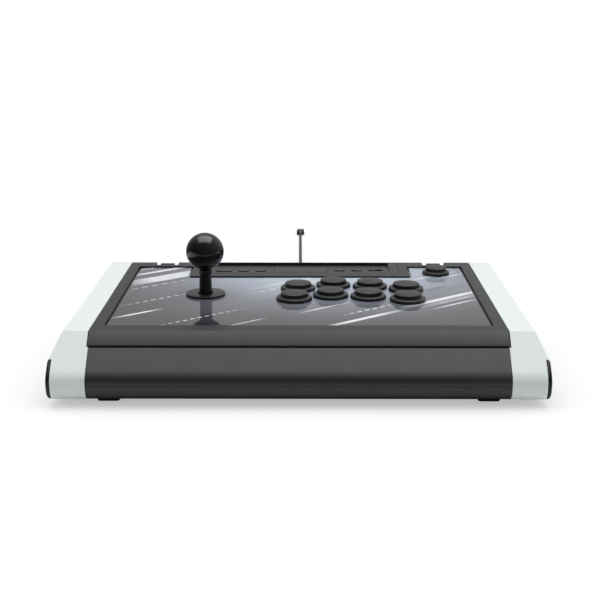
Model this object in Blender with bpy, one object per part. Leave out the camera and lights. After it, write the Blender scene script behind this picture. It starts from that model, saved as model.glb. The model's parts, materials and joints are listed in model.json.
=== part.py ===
"""Arcade joystick panel: a wide case with a hinged lid, a ball-top stick and nine round buttons.

Lengths are in millimetres and are scaled to metres when a mesh is made.
World frame: +X to the player's right, +Y away from the player, +Z up, feet on Z = 0.
The lid and everything on it are modelled in the panel's own frame: x across, v up the slope
from the top's front edge, h square out of the panel.
"""
import math

import bmesh
import bpy
from mathutils import Matrix, Vector

MM = 0.001

# ---- driving dimensions, millimetres ----
GAP = 0.3                        # running and resting gap between neighbouring pieces
WALL = 3.0                       # moulded wall of the case and the lid

LID_HALF_WIDTH = 173.5
CASE_HALF_WIDTH = 172.5
WING_INNER_X = 174.3             # beside the lid
WING_STEP_X = 172.8              # below the lid, where the wing closes up to the case
WING_TOP_X = 195.3
WING_CREASE_X = 203.6
WING_SIDE_X = 201.3              # upright side behind the cap
WING_WALL = 2.6
CAP_OUTER_X = 205.0

FRONT_EDGE = (-112.3, 58.2)      # (y, z) of the top's front edge
BACK_EDGE = (144.0, 74.4)        # (y, z) of the top's back edge
SLOPE_END = (-138.2, 32.0)       # where the front slope meets the nose
NOSE = (-144.0, 22.0)
UNDERSIDE_FRONT = (-131.0, 6.0)
UNDERSIDE_BACK = (126.0, 6.0)
HEEL = (138.5, 22.0)             # where the back wall leaves the rounded heel

PANEL_TILT = math.atan2(BACK_EDGE[1] - FRONT_EDGE[1], BACK_EDGE[0] - FRONT_EDGE[0])
PANEL_DEPTH = math.hypot(BACK_EDGE[1] - FRONT_EDGE[1], BACK_EDGE[0] - FRONT_EDGE[0])

LID_SKIRT = 10.8                 # depth of the lid below its top
SEAM = 0.5                       # gap between lid and case
CREASE_DEPTH = 18.0              # where the wing's slanted face turns under
LEDGE_DEPTH = 0.5                # height of the underside of the wing's crease, over the cap

ART_HALF_WIDTH = 162.1
ART_FRONT_V = 19.1
ART_BACK_V = 236.0
ART_RECESS = 1.2
ART_THICK = 1.8
GROOVE = 1.8
PLATE_TOP = -3.3
PLATE_THICK = 1.6
PLATE_BOTTOM = PLATE_TOP - PLATE_THICK

TONGUE_HALF_WIDTH = 108.7        # part of the frame that reaches forward to hold the controls
TONGUE_FRONT_V = 195.0
STRIP_HALF_WIDTH = 98.7          # control strip let into the tongue
STRIP_FRONT_V = 208.0
STRIP_BACK_V = 255.2
STRIP_THICK = 6.0
BAY_HALF_WIDTH = 90.0            # wedge-shaped bay, its floor level when the case stands on its feet
BAY_FRONT_V = 212.0
BAY_BACK_V = 254.0
BAY_LIP = 0.2

MAIN_BUTTONS = {
    "button_b1": (-1.5, 146.1),
    "button_b2": (32.0, 158.7),
    "button_b3": (66.8, 154.0),
    "button_b4": (100.3, 143.7),
    "button_f1": (-4.8, 108.0),
    "button_f2": (28.7, 119.8),
    "button_f3": (63.3, 115.4),
    "button_f4": (98.8, 105.1),
}
SMALL_BUTTONS = {"button_side": (135.4, 210.2)}
MAIN_RADIUS = 12.5
MAIN_RIM = 16.75
SMALL_RADIUS = 10.1
SMALL_RIM = 13.6
BUTTON_SIDES = 20
CROWN = 7.1                      # top of a plunger, and how far its shoulder and its edge lie below
SHOULDER_DROP = 0.6
EDGE_DROP = 2.0
PLUNGER_WALL = 1.6
PLUNGER_FOOT = -14.0
HOUSING_FOOT = -20.0
HOUSING_WALL = 1.8

STICK = (-87.2, 125.8)           # (x, v) of the stick's axis
PIVOT_H = -13.0
BALL_RADIUS = 17.5
BALL_CENTRE_H = 39.8
SHAFT_RADIUS = 3.0
COVER_RADIUS = 5.75
WASHER_RADIUS = 18.4
WASHER_THICK = 1.8
WASHER_SHIFT = 2.2
STICK_HOLE = 12.0
TRUNNION = 2.0

HINGE_V = 250.5
HINGE_H = -6.0
HINGE_X = (126.0, 148.0)         # inner and outer side of each hinge notch
KNUCKLE = 4.5
BRACKET_HALF_DEPTH = 3.4         # its upper corners stay inside the circle that the notch sweeps
BRACKET_TOP_H = -0.4
PIN_RADIUS = 1.6
EAR_THICK = 3.7
SWEEP = 7.75                     # radius swept by the lid's lower back corner

FOOT_SIZE = (18.6, 17.0)
FOOT_CORNER = 3.0
FOOT_PLACES = {
    "foot_front_left": (-158.0, -111.6),
    "foot_front_right": (158.0, -111.6),
    "foot_rear_left": (-158.0, 112.0),
    "foot_rear_right": (158.0, 112.0),
}

CABLE_RADIUS = 2.0
CABLE_EXIT_Z = 28.0
RELIEF_START_Y = 141.2
RELIEF_END_Y = 170.0
COIL_CENTRE = (31.0, 237.0)
COIL_INNER = 14.8
COIL_OUTER = 31.4
COIL_HEIGHT = 16.2
CABLE_END_Y = 880.0
PLUG_AXIS_X = -3.6
PLUG_AXIS_Z = 4.2

FINISHES = {
    "black_case": ((0.035, 0.035, 0.038), 0.45, 0.0),
    "white_shell": ((0.78, 0.84, 0.83), 0.4, 0.0),
    "black_cap": ((0.012, 0.012, 0.013), 0.4, 0.0),
    "rubber": ((0.02, 0.02, 0.02), 0.8, 0.0),
    "printed_sheet": ((0.32, 0.34, 0.46), 0.08, 0.0),
    "steel": ((0.55, 0.56, 0.58), 0.35, 1.0),
    "black_steel": ((0.02, 0.02, 0.021), 0.5, 0.0),
    "button_black": ((0.03, 0.03, 0.032), 0.4, 0.0),
    "ball_black": ((0.006, 0.006, 0.007), 0.15, 0.0),
    "board_green": ((0.02, 0.12, 0.06), 0.5, 0.0),
    "cable_black": ((0.01, 0.01, 0.011), 0.5, 0.0),
}


# ---- mesh building ----
def clear_scene():
    for old in list(bpy.data.objects):
        bpy.data.objects.remove(old, do_unlink=True)


def make_finishes():
    made = {}
    for name, (colour, roughness, metallic) in FINISHES.items():
        material = bpy.data.materials.new(name)
        material.use_nodes = True
        shader = material.node_tree.nodes["Principled BSDF"]
        shader.inputs["Base Color"].default_value = (*colour, 1.0)
        shader.inputs["Roughness"].default_value = roughness
        shader.inputs["Metallic"].default_value = metallic
        made[name] = material
    return made


def loft(rings, closed=False):
    """Skin rings that have the same number of points; capped at both ends unless closed."""
    mesh = bmesh.new()
    rows = [[mesh.verts.new(point) for point in ring] for ring in rings]
    count = len(rows[0])
    pairs = list(zip(rows, rows[1:]))
    if closed:
        pairs.append((rows[-1], rows[0]))
    else:
        mesh.faces.new(rows[0])
        mesh.faces.new(rows[-1])
    for low, high in pairs:
        for i in range(count):
            j = (i + 1) % count
            mesh.faces.new((low[i], low[j], high[j], high[i]))
    bmesh.ops.recalc_face_normals(mesh, faces=mesh.faces)
    return mesh


def prism(outline, x0, x1):
    """Prism of a (y, z) outline between two x planes."""
    return loft([[(x, y, z) for y, z in outline] for x in (x0, x1)])


def slab(outline, z0, z1):
    """Prism of an (x, y) outline between two z planes."""
    return loft([[(x, y, z) for x, y in outline] for z in (z0, z1)])


def rectangle(x0, x1, y0, y1):
    return [(x0, y0), (x1, y0), (x1, y1), (x0, y1)]


def rounded_rectangle(width, depth, radius, steps=4):
    points = []
    for corner in range(4):
        centre_x = (width / 2 - radius) * (1 if corner in (0, 3) else -1)
        centre_y = (depth / 2 - radius) * (1 if corner < 2 else -1)
        for step in range(steps + 1):
            angle = math.pi / 2 * (corner + step / steps)
            points.append((centre_x + radius * math.cos(angle), centre_y + radius * math.sin(angle)))
    return points


def circle(radius, sides, centre=(0.0, 0.0)):
    turns = [2 * math.pi * (i + 0.5) / sides for i in range(sides)]
    return [(centre[0] + radius * math.cos(a), centre[1] + radius * math.sin(a)) for a in turns]


def turned(profile, sides):
    """Solid of revolution about z; profile is a list of (radius, z) from one end to the other."""
    return loft([[(x, y, z) for x, y in circle(radius, sides)] for radius, z in profile])


def turned_ring(profile, sides):
    """Hollow solid of revolution about z; profile is a closed loop of (radius, z)."""
    rings = []
    for i in range(sides):
        angle = 2 * math.pi * (i + 0.5) / sides
        rings.append([(r * math.cos(angle), r * math.sin(angle), z) for r, z in profile])
    return loft(rings, closed=True)


def joined(*meshes):
    """Put separate closed shapes that don't touch into one mesh, for use as a cutter."""
    whole = bmesh.new()
    for part in meshes:
        holder = bpy.data.meshes.new("part")
        part.to_mesh(holder)
        part.free()
        whole.from_mesh(holder)
        bpy.data.meshes.remove(holder)
    return whole


def moved(mesh, offset=(0.0, 0.0, 0.0), rotation=None):
    if rotation is not None:
        mesh.transform(rotation)
    mesh.transform(Matrix.Translation(Vector(offset)))
    return mesh


TO_X = Matrix.Rotation(math.pi / 2, 4, "Y")      # turns the z axis onto x
TO_Y = Matrix.Rotation(-math.pi / 2, 4, "X")     # turns the z axis onto y


def add_object(name, mesh, parent=None, at=(0.0, 0.0, 0.0)):
    mesh.transform(Matrix.Scale(MM, 4))
    data = bpy.data.meshes.new(name)
    mesh.to_mesh(data)
    mesh.free()
    piece = bpy.data.objects.new(name, data)
    bpy.context.scene.collection.objects.link(piece)
    piece.parent = parent
    piece.location = Vector(at) * MM
    return piece


def add_piece(name, mesh, finish, parent=None, at=(0.0, 0.0, 0.0)):
    piece = add_object(name, mesh, parent, at)
    piece.data.materials.append(finishes[finish])
    piece.data.shade_smooth()
    piece.data.set_sharp_from_angle(angle=math.radians(32))
    return piece


def boolean(piece, mesh, operation, name, at=(0.0, 0.0, 0.0)):
    tool = add_object(name, mesh, piece.parent, at)
    tool.hide_render = True
    tool.display_type = "WIRE"
    modifier = piece.modifiers.new(name, "BOOLEAN")
    modifier.operation = operation
    modifier.solver = "EXACT"
    modifier.object = tool


def cut(piece, mesh, name, at=(0.0, 0.0, 0.0)):
    boolean(piece, mesh, "DIFFERENCE", name, at)


def fuse(piece, mesh, name, at=(0.0, 0.0, 0.0)):
    boolean(piece, mesh, "UNION", name, at)


def add_empty(name, at, parent=None, tilt=0.0):
    empty = bpy.data.objects.new(name, None)
    bpy.context.scene.collection.objects.link(empty)
    empty.parent = parent
    empty.location = Vector(at) * MM
    empty.rotation_euler = (tilt, 0.0, 0.0)
    return empty


# ---- outlines of the body, seen from its side ----
def panel_to_world(v, h):
    """World (y, z) of a point v up the panel's slope and h out of it."""
    sin, cos = math.sin(PANEL_TILT), math.cos(PANEL_TILT)
    return (FRONT_EDGE[0] + v * cos - h * sin, FRONT_EDGE[1] + v * sin + h * cos)


def panel_height(y, z):
    """How far a world point lies above the panel's plane."""
    sin, cos = math.sin(PANEL_TILT), math.cos(PANEL_TILT)
    return -(y - FRONT_EDGE[0]) * sin + (z - FRONT_EDGE[1]) * cos


def on_segment(start, end, h):
    """Point of a straight (y, z) segment, or of its extension, at height h from the panel."""
    h0, h1 = panel_height(*start), panel_height(*end)
    t = (h - h0) / (h1 - h0)
    return (start[0] + t * (end[0] - start[0]), start[1] + t * (end[1] - start[1]))


def bend(start, corner, end, steps):
    """Smooth turn from start to end whose tangents meet at corner; both ends left out."""
    points = []
    for step in range(1, steps):
        t = step / steps
        a, b, c = (1 - t) ** 2, 2 * t * (1 - t), t ** 2
        points.append(tuple(a * s + b * m + c * e for s, m, e in zip(start, corner, end)))
    return points


def under_outline():
    """The body's outline from the front slope's end, round the nose and underside, to the heel."""
    brow = (NOSE[0], SLOPE_END[1] - (SLOPE_END[0] - NOSE[0]))
    chin = (NOSE[0], UNDERSIDE_FRONT[1])
    sole = (HEEL[0] - 2.0, UNDERSIDE_BACK[1])
    points = [SLOPE_END]
    points += bend(SLOPE_END, brow, NOSE, 3)
    points += [NOSE]
    points += bend(NOSE, chin, UNDERSIDE_FRONT, 5)
    points += [UNDERSIDE_FRONT, UNDERSIDE_BACK]
    points += bend(UNDERSIDE_BACK, sole, HEEL, 5)
    points += [HEEL]
    return points


def body_outline(heights):
    """Closed outline with front and back points at each of the given heights, highest first."""
    front = [on_segment(FRONT_EDGE, SLOPE_END, h) for h in heights]
    back = [on_segment(BACK_EDGE, HEEL, h) for h in reversed(heights)]
    return front + under_outline() + back


def inset(outline, distance):
    """Move each side of a closed outline inwards by distance."""
    area = sum(a[0] * b[1] - b[0] * a[1] for a, b in zip(outline, outline[1:] + outline[:1]))
    side = 1.0 if area > 0 else -1.0
    result = []
    for before, here, after in zip(outline[-1:] + outline[:-1], outline, outline[1:] + outline[:1]):
        d0 = (Vector(here) - Vector(before)).normalized()
        d1 = (Vector(after) - Vector(here)).normalized()
        n0 = Vector((-d0.y, d0.x)) * side
        n1 = Vector((-d1.y, d1.x)) * side
        shift = (n0 + n1) * (distance / (1.0 + n0.dot(n1)))
        result.append((here[0] + shift.x, here[1] + shift.y))
    return result


# ---- base: case, wings, caps, feet ----
def make_lower_case():
    top = -LID_SKIRT - SEAM
    outer = body_outline([top])
    inner = inset(body_outline([top + 4 * WALL]), WALL)
    case = add_piece("lower_case", prism(outer, -CASE_HALF_WIDTH, CASE_HALF_WIDTH), "black_case")
    hollow_half = CASE_HALF_WIDTH - WALL
    cut(case, prism(inner, -hollow_half, hollow_half), "case_hollow")
    axis = panel_to_world(HINGE_V, HINGE_H)
    sweep = moved(turned([(SWEEP, -180.0), (SWEEP, 180.0)], 24), (0.0, *axis), TO_X)
    cut(case, sweep, "case_hinge_clearance")
    gland = turned([(5.1, 120.0), (5.1, 160.0)], 16)
    cut(case, moved(gland, (0.0, 0.0, CABLE_EXIT_Z), TO_Y), "case_gland_hole")


def make_base_plate():
    plate = slab(rectangle(-150.0, 150.0, -118.0, 116.0), *PLATE_FLOOR)
    add_piece("base_plate", plate, "steel")


def wing_mesh(side, side_x, inner_x, thickness=0.0):
    """Side wing between inner_x and side_x(rank), where rank counts outline points from the top edge."""
    outline = body_outline([0.0, -CREASE_DEPTH, -CREASE_DEPTH - LEDGE_DEPTH])
    last = len(outline) - 1
    rings = [[], []]
    for i, (y, z) in enumerate(inset(outline, thickness) if thickness else outline):
        rings[0].append((side * inner_x, y, z))
        rings[1].append((side * (side_x(min(i, last - i)) - thickness), y, z))
    mesh = loft(rings)
    mesh.verts.ensure_lookup_table()
    far = mesh.verts[last + 1:]
    flank = next(face for face in mesh.faces if all(vertex in far for vertex in face.verts))
    for rank in (1, 2):
        parts = bmesh.utils.face_split(flank, far[rank], far[last - rank])
        flank = max((flank, parts[0]), key=lambda face: len(face.verts))
    return mesh


def make_wings():
    """White wings: slanted upper side, crease, and an upright lower side that the cap covers."""
    def outer_x(rank):
        return (WING_TOP_X, WING_CREASE_X)[rank] if rank < 2 else WING_SIDE_X

    def hollow_x(rank):
        return WING_SIDE_X if rank else WING_TOP_X

    seam_h = -LID_SKIRT - SEAM
    beside_lid = [panel_to_world(v, h) for v, h in rectangle(-30.0, PANEL_DEPTH + 30.0, seam_h, 20.0)]
    axis = panel_to_world(HINGE_V, HINGE_H)
    for name, side in (("wing_left", -1), ("wing_right", 1)):
        wing = add_piece(name, wing_mesh(side, outer_x, WING_STEP_X), "white_shell")
        open_x = WING_STEP_X - 1.0
        cut(wing, wing_mesh(side, hollow_x, open_x, WING_WALL), name + "_hollow")
        near, far = side * open_x, side * WING_INNER_X
        cut(wing, prism(beside_lid, near, far), name + "_lid_side")
        sweep = moved(turned([(SWEEP, near), (SWEEP, far)], 24), (0.0, *axis), TO_X)
        cut(wing, sweep, name + "_hinge_clearance")


def make_side_caps():
    """Black shields on the wings' sides, rounded towards their edges."""
    outline = body_outline([-CREASE_DEPTH - LEDGE_DEPTH - GAP])
    inner_x = WING_SIDE_X + GAP
    depth = CAP_OUTER_X - inner_x
    steps = [(0.0, 0.0), (0.45, 0.1), (0.8, 0.6), (0.95, 1.4), (1.0, 2.6)]
    for name, side in (("side_cap_left", -1), ("side_cap_right", 1)):
        rings = []
        for share, edge in steps:
            shape = inset(outline, edge) if edge else outline
            rings.append([(side * (inner_x + share * depth), y, z) for y, z in shape])
        add_piece(name, loft(rings), "black_cap")


def make_feet():
    top = UNDERSIDE_FRONT[1] - GAP
    chamfer = 1.2
    width, depth = FOOT_SIZE
    for name, (x, y) in FOOT_PLACES.items():
        rings = []
        for z, inward in ((0.0, chamfer), (chamfer, 0.0), (top, 0.0)):
            pad = rounded_rectangle(width - 2 * inward, depth - 2 * inward, FOOT_CORNER - inward)
            rings.append([(px, py, z) for px, py in pad])
        add_piece(name, loft(rings), "rubber", at=(x, y, 0.0))


PLATE_FLOOR = (9.3, 10.9)        # under and upper side of the steel base plate
BOARD_HALF_WIDTH = 60.0
BOARD_Y = (60.0, 106.0)
BOARD_Z = (14.0, 15.6)
CONNECTOR_TOP = 23.0
CHIP_TOP = 17.4


def make_main_board():
    """Circuit board on four posts, with two connector blocks at its back and a chip in the middle."""
    low, high = BOARD_Z
    front, back = BOARD_Y
    board = slab(rectangle(-BOARD_HALF_WIDTH, BOARD_HALF_WIDTH, front, back), low, high)
    piece = add_piece("main_board", board, "board_green")
    corner_x, sunk = BOARD_HALF_WIDTH - 6.0, 0.2
    fittings = []
    for place in ((x, y) for x in (-corner_x, corner_x) for y in (front + 6.0, back - 6.0)):
        fittings.append(slab(circle(3.0, 8, place), PLATE_FLOOR[1] + GAP, low + 2 * sunk))
    for x0, x1 in ((-50.0, -20.0), (10.0, 50.0)):
        fittings.append(slab(rectangle(x0, x1, back - 14.0, back - 4.0), high - sunk, CONNECTOR_TOP))
    fittings.append(slab(rectangle(-9.0, 9.0, front + 8.0, front + 26.0), high - sunk, CHIP_TOP))
    fuse(piece, joined(*fittings), "board_fittings")


def make_catch_magnet():
    """Magnet block that holds the lid shut by the bent tab of the panel plate."""
    height = 21.0
    floor = PLATE_FLOOR[1] + GAP
    add_piece("catch_magnet", slab(rectangle(-10.0, 10.0, -111.0, -97.0), floor, floor + height), "steel")


# ---- hinges ----
def make_hinges():
    """Two hinges: a fixed bracket with its pin, between the two ears of a leaf on the lid's plate."""
    axis_y, axis_z = panel_to_world(HINGE_V, HINGE_H)
    bracket_back = axis_y - 1.6
    bracket_foot = 36.0
    top_front = panel_to_world(HINGE_V - BRACKET_HALF_DEPTH, BRACKET_TOP_H)
    top_back = panel_to_world(HINGE_V + BRACKET_HALF_DEPTH, BRACKET_TOP_H)
    lug = [top_back, top_front, (axis_y - KNUCKLE, axis_z - 1.0), (axis_y - KNUCKLE, bracket_foot),
           (bracket_back, bracket_foot), (bracket_back, axis_z - 7.2), (axis_y + 4.1, axis_z - 2.2)]
    leaf_top, leaf_bottom = PLATE_BOTTOM - 0.4, PLATE_BOTTOM - 2.4
    ear = []
    for angle in range(-120, 121, 20):
        turn = math.radians(angle)
        ear.append((HINGE_V + KNUCKLE * math.cos(turn), HINGE_H + KNUCKLE * math.sin(turn)))
    ear += [(HINGE_V - 5.0, leaf_top), (HINGE_V - 10.0, leaf_top), (HINGE_V - 10.0, leaf_bottom),
            (HINGE_V - 5.0, HINGE_H - 3.2)]
    inner_x, outer_x = HINGE_X
    for word, side in (("left", -1), ("right", 1)):
        low, high = sorted((side * (inner_x + EAR_THICK + 0.4), side * (outer_x - EAR_THICK - 0.4)))
        bracket = add_piece("hinge_bracket_" + word, prism(lug, low, high), "black_steel")
        low, high = sorted((side * (inner_x + GAP), side * (outer_x - GAP)))
        pin = turned([(PIN_RADIUS, low), (PIN_RADIUS, high)], 12)
        fuse(bracket, moved(pin, (0.0, axis_y, axis_z), TO_X), "hinge_pin_" + word)

        low, high = sorted((side * inner_x, side * (inner_x + EAR_THICK)))
        leaf = add_piece("hinge_leaf_" + word, prism(ear, low, high), "black_steel", panel_frame)
        low, high = sorted((side * (outer_x - EAR_THICK), side * outer_x))
        fuse(leaf, prism(ear, low, high), "hinge_ear_" + word)
        low, high = sorted((side * inner_x, side * outer_x))
        flat = slab(rectangle(low, high, HINGE_V - 24.0, HINGE_V - 7.0), leaf_bottom, leaf_top)
        fuse(leaf, flat, "hinge_flat_" + word)
        bore = turned([(PIN_RADIUS + GAP, low - 2.0), (PIN_RADIUS + GAP, high + 2.0)], 12)
        cut(leaf, moved(bore, (0.0, HINGE_V, HINGE_H), TO_X), "hinge_bore_" + word)


# ---- lid: frame, printed sheet, plate, control strip ----
def lid_outline(edge=0.0, extra=0.0):
    """Lid's side outline in the panel's (v, h), inset by edge and reaching extra further down."""
    bottom = -LID_SKIRT
    lean = (SLOPE_END[0] - FRONT_EDGE[0]) / (FRONT_EDGE[1] - SLOPE_END[1])
    skirt_v = on_segment(FRONT_EDGE, SLOPE_END, bottom)[0] - FRONT_EDGE[0]
    skirt_v = skirt_v * math.cos(PANEL_TILT) + bottom * math.tan(PANEL_TILT)
    back_v = PANEL_DEPTH + bottom * math.tan(PANEL_TILT)
    outline = [(0.0, 0.0), (skirt_v, bottom), (back_v, bottom), (PANEL_DEPTH, 0.0)]
    if not edge:
        return outline
    (v0, h0), (v1, h1), (v2, h2), (v3, h3) = inset(outline, edge)
    return [(v0, h0), (v1 + lean * (extra + edge), h1 - extra - edge), (v2, h2 - extra - edge), (v3, h3)]


def window_outline(grow):
    """Outline in (x, v) of the printed sheet, grown all round; the tongue bites into its back."""
    half, tongue = ART_HALF_WIDTH + grow, TONGUE_HALF_WIDTH + GROOVE - grow
    front, back = ART_FRONT_V - grow, ART_BACK_V + grow
    bite = TONGUE_FRONT_V - GROOVE + grow
    return [(-half, front), (half, front), (half, back), (tongue, back),
            (tongue, bite), (-tongue, bite), (-tongue, back), (-half, back)]


def make_top_frame():
    frame = add_piece("top_frame", prism(lid_outline(), -LID_HALF_WIDTH, LID_HALF_WIDTH),
                      "black_case", panel_frame)
    hollow = prism(lid_outline(WALL, 4.0), WALL - LID_HALF_WIDTH, LID_HALF_WIDTH - WALL)
    cut(frame, hollow, "lid_hollow")
    cut(frame, slab(window_outline(GROOVE), -5.0, 5.0), "lid_window")
    strip = rectangle(-STRIP_HALF_WIDTH - GAP, STRIP_HALF_WIDTH + GAP,
                      STRIP_FRONT_V - GAP, STRIP_BACK_V + GAP)
    cut(frame, slab(strip, -STRIP_THICK - 1.0, 5.0), "lid_strip_window")
    notches = []
    for side in (-1, 1):
        low, high = sorted((side * (HINGE_X[0] - 0.4), side * (HINGE_X[1] + 0.4)))
        notches.append(slab(rectangle(low, high, HINGE_V - 6.8, PANEL_DEPTH + 5.0), -20.0, 5.0))
    cut(frame, joined(*notches), "lid_hinge_notches")


def panel_holes(extra, low, high):
    """Cutter for every round hole through the panel."""
    holes = [slab(circle(STICK_HOLE, 24, STICK), low, high)]
    for places, radius in ((MAIN_BUTTONS, 14.6), (SMALL_BUTTONS, 11.8)):
        for place in places.values():
            holes.append(slab(circle(radius + extra, BUTTON_SIDES, place), low, high))
    return joined(*holes)


def make_art_panel():
    top = -ART_RECESS
    sheet = add_piece("art_panel", slab(window_outline(0.0), top - ART_THICK, top),
                      "printed_sheet", panel_frame)
    cut(sheet, panel_holes(0.5, -6.0, 4.0), "art_holes")


def make_panel_plate():
    """Steel plate under the sheet, notched for the control strip, with a tab for the catch."""
    half, notch = 167.0, STRIP_HALF_WIDTH + 2.0
    front, back, bite = 12.0, 239.0, STRIP_FRONT_V - 2.0
    outline = [(-half, front), (half, front), (half, back), (notch, back),
               (notch, bite), (-notch, bite), (-notch, back), (-half, back)]
    plate = add_piece("panel_plate", slab(outline, PLATE_BOTTOM, PLATE_TOP), "steel", panel_frame)
    reach, drop_h, tab_half = 6.0, -26.0, 9.0
    tab = slab(rectangle(-tab_half, tab_half, front - reach, front + 0.5), PLATE_BOTTOM, PLATE_TOP)
    fuse(plate, tab, "plate_catch_tab")
    drop = rectangle(-tab_half, tab_half, front - reach, front - reach + PLATE_THICK)
    fuse(plate, slab(drop, drop_h, PLATE_TOP - 0.5), "plate_catch_drop")
    cut(plate, panel_holes(0.9, -8.0, 4.0), "plate_holes")


# places in the bay: x across, y back from the bay's front edge
CONTROL_BUTTONS = {
    "pill_button": (-76.5, 8.6, rounded_rectangle(16.0, 11.0, 5.2)),
    "round_button_1": (-57.0, 8.6, circle(5.5, 16)),
    "round_button_2": (-39.5, 8.6, circle(5.5, 16)),
    "mode_button_1": (39.8, 12.6, circle(5.5, 16)),
    "mode_button_2": (57.2, 12.6, circle(5.5, 16)),
    "touch_pad": (0.5, 14.6, rounded_rectangle(53.0, 27.0, 1.5)),
}
SLIDER = (76.2, 12.6)
SLIDER_SLOT = (14.0, 10.0)
SLIDER_SLOT_DEPTH = 1.4
SLIDER_KNOB = (5.0, 7.0)
SLIDER_TRAVEL = 4.0
BUTTON_PROUD = 1.0
PAD_PROUD = 0.3
CONTROL_ROOT = -4.6


def scaled(outline, grow):
    """Outline about its own centre, grown by moving each point away from the middle."""
    result = []
    for x, y in outline:
        length = math.hypot(x, y)
        result.append((x * (1 + grow / length), y * (1 + grow / length)))
    return result


def in_bay(mesh):
    """Place a mesh modelled on the bay's level floor into the panel's frame."""
    level = Matrix.Rotation(-PANEL_TILT, 4, "X")
    return moved(mesh, (0.0, BAY_FRONT_V, -BAY_LIP), level)


def make_control_strip():
    """Strip with the sunk bay, and the holes that its buttons come up through."""
    outline = rectangle(-STRIP_HALF_WIDTH, STRIP_HALF_WIDTH, STRIP_FRONT_V, STRIP_BACK_V)
    strip = add_piece("control_strip", slab(outline, -STRIP_THICK, 0.0), "black_case", panel_frame)
    wedge = slab(rectangle(-BAY_HALF_WIDTH, BAY_HALF_WIDTH, 0.0, BAY_BACK_V - BAY_FRONT_V), 0.0, 9.0)
    cut(strip, in_bay(wedge), "bay_wedge")
    holes = []
    for x, y, shape in CONTROL_BUTTONS.values():
        hole = [(x + px, y + py) for px, py in scaled(shape, GAP)]
        holes.append(in_bay(slab(hole, -12.0, 3.0)))
    slot = [(SLIDER[0] + px, SLIDER[1] + py) for px, py in rounded_rectangle(*SLIDER_SLOT, 2.0, 2)]
    holes.append(in_bay(slab(slot, -SLIDER_SLOT_DEPTH, 3.0)))
    cut(strip, joined(*holes), "bay_holes")


def make_controls():
    """Bay buttons, touch pad and slide switch, each with its own origin on the bay's floor."""
    for name, (x, y, shape) in CONTROL_BUTTONS.items():
        proud, edge = (PAD_PROUD, 0.2) if name == "touch_pad" else (BUTTON_PROUD, 0.5)
        levels = [(CONTROL_ROOT, 0.0), (proud - edge, 0.0), (proud, -edge)]
        rings = [[(px, py, z) for px, py in scaled(shape, grow)] for z, grow in levels]
        add_piece(name, loft(rings), "button_black", bay_frame, (x, y, 0.0))
    knob = rounded_rectangle(*SLIDER_KNOB, 0.8, 2)
    rest = (SLIDER[0] - SLIDER_TRAVEL / 2, SLIDER[1], 0.0)
    add_piece("slide_switch", slab(knob, GAP - SLIDER_SLOT_DEPTH, 0.8), "button_black", bay_frame, rest)


# ---- push buttons ----
def make_button(name, place, radius, rim):
    """A housing that drops through the panel and the domed plunger that slides in it."""
    bore = radius + GAP
    body = bore + HOUSING_WALL
    seat = GAP - ART_RECESS
    housing = [(bore, 2.6), (rim - 1.4, 2.1), (rim, 0.8), (rim, seat), (body, seat),
               (body, HOUSING_FOOT), (bore, HOUSING_FOOT)]
    add_piece(name + "_housing", turned_ring(housing, BUTTON_SIDES), "button_black",
              panel_frame, (*place, 0.0))
    inner = radius - PLUNGER_WALL
    ceiling = CROWN - EDGE_DROP - PLUNGER_WALL
    plunger = [(1.5, ceiling), (inner, ceiling - 0.4), (inner, PLUNGER_FOOT), (radius, PLUNGER_FOOT),
               (radius, CROWN - EDGE_DROP), (radius * 0.7, CROWN - SHOULDER_DROP), (1.5, CROWN)]
    add_piece(name + "_plunger", turned(plunger, BUTTON_SIDES), "button_black",
              panel_frame, (*place, 0.0))


def make_buttons():
    for name, place in MAIN_BUTTONS.items():
        make_button(name, place, MAIN_RADIUS, MAIN_RIM)
    for name, place in SMALL_BUTTONS.items():
        make_button(name, place, SMALL_RADIUS, SMALL_RIM)


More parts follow.
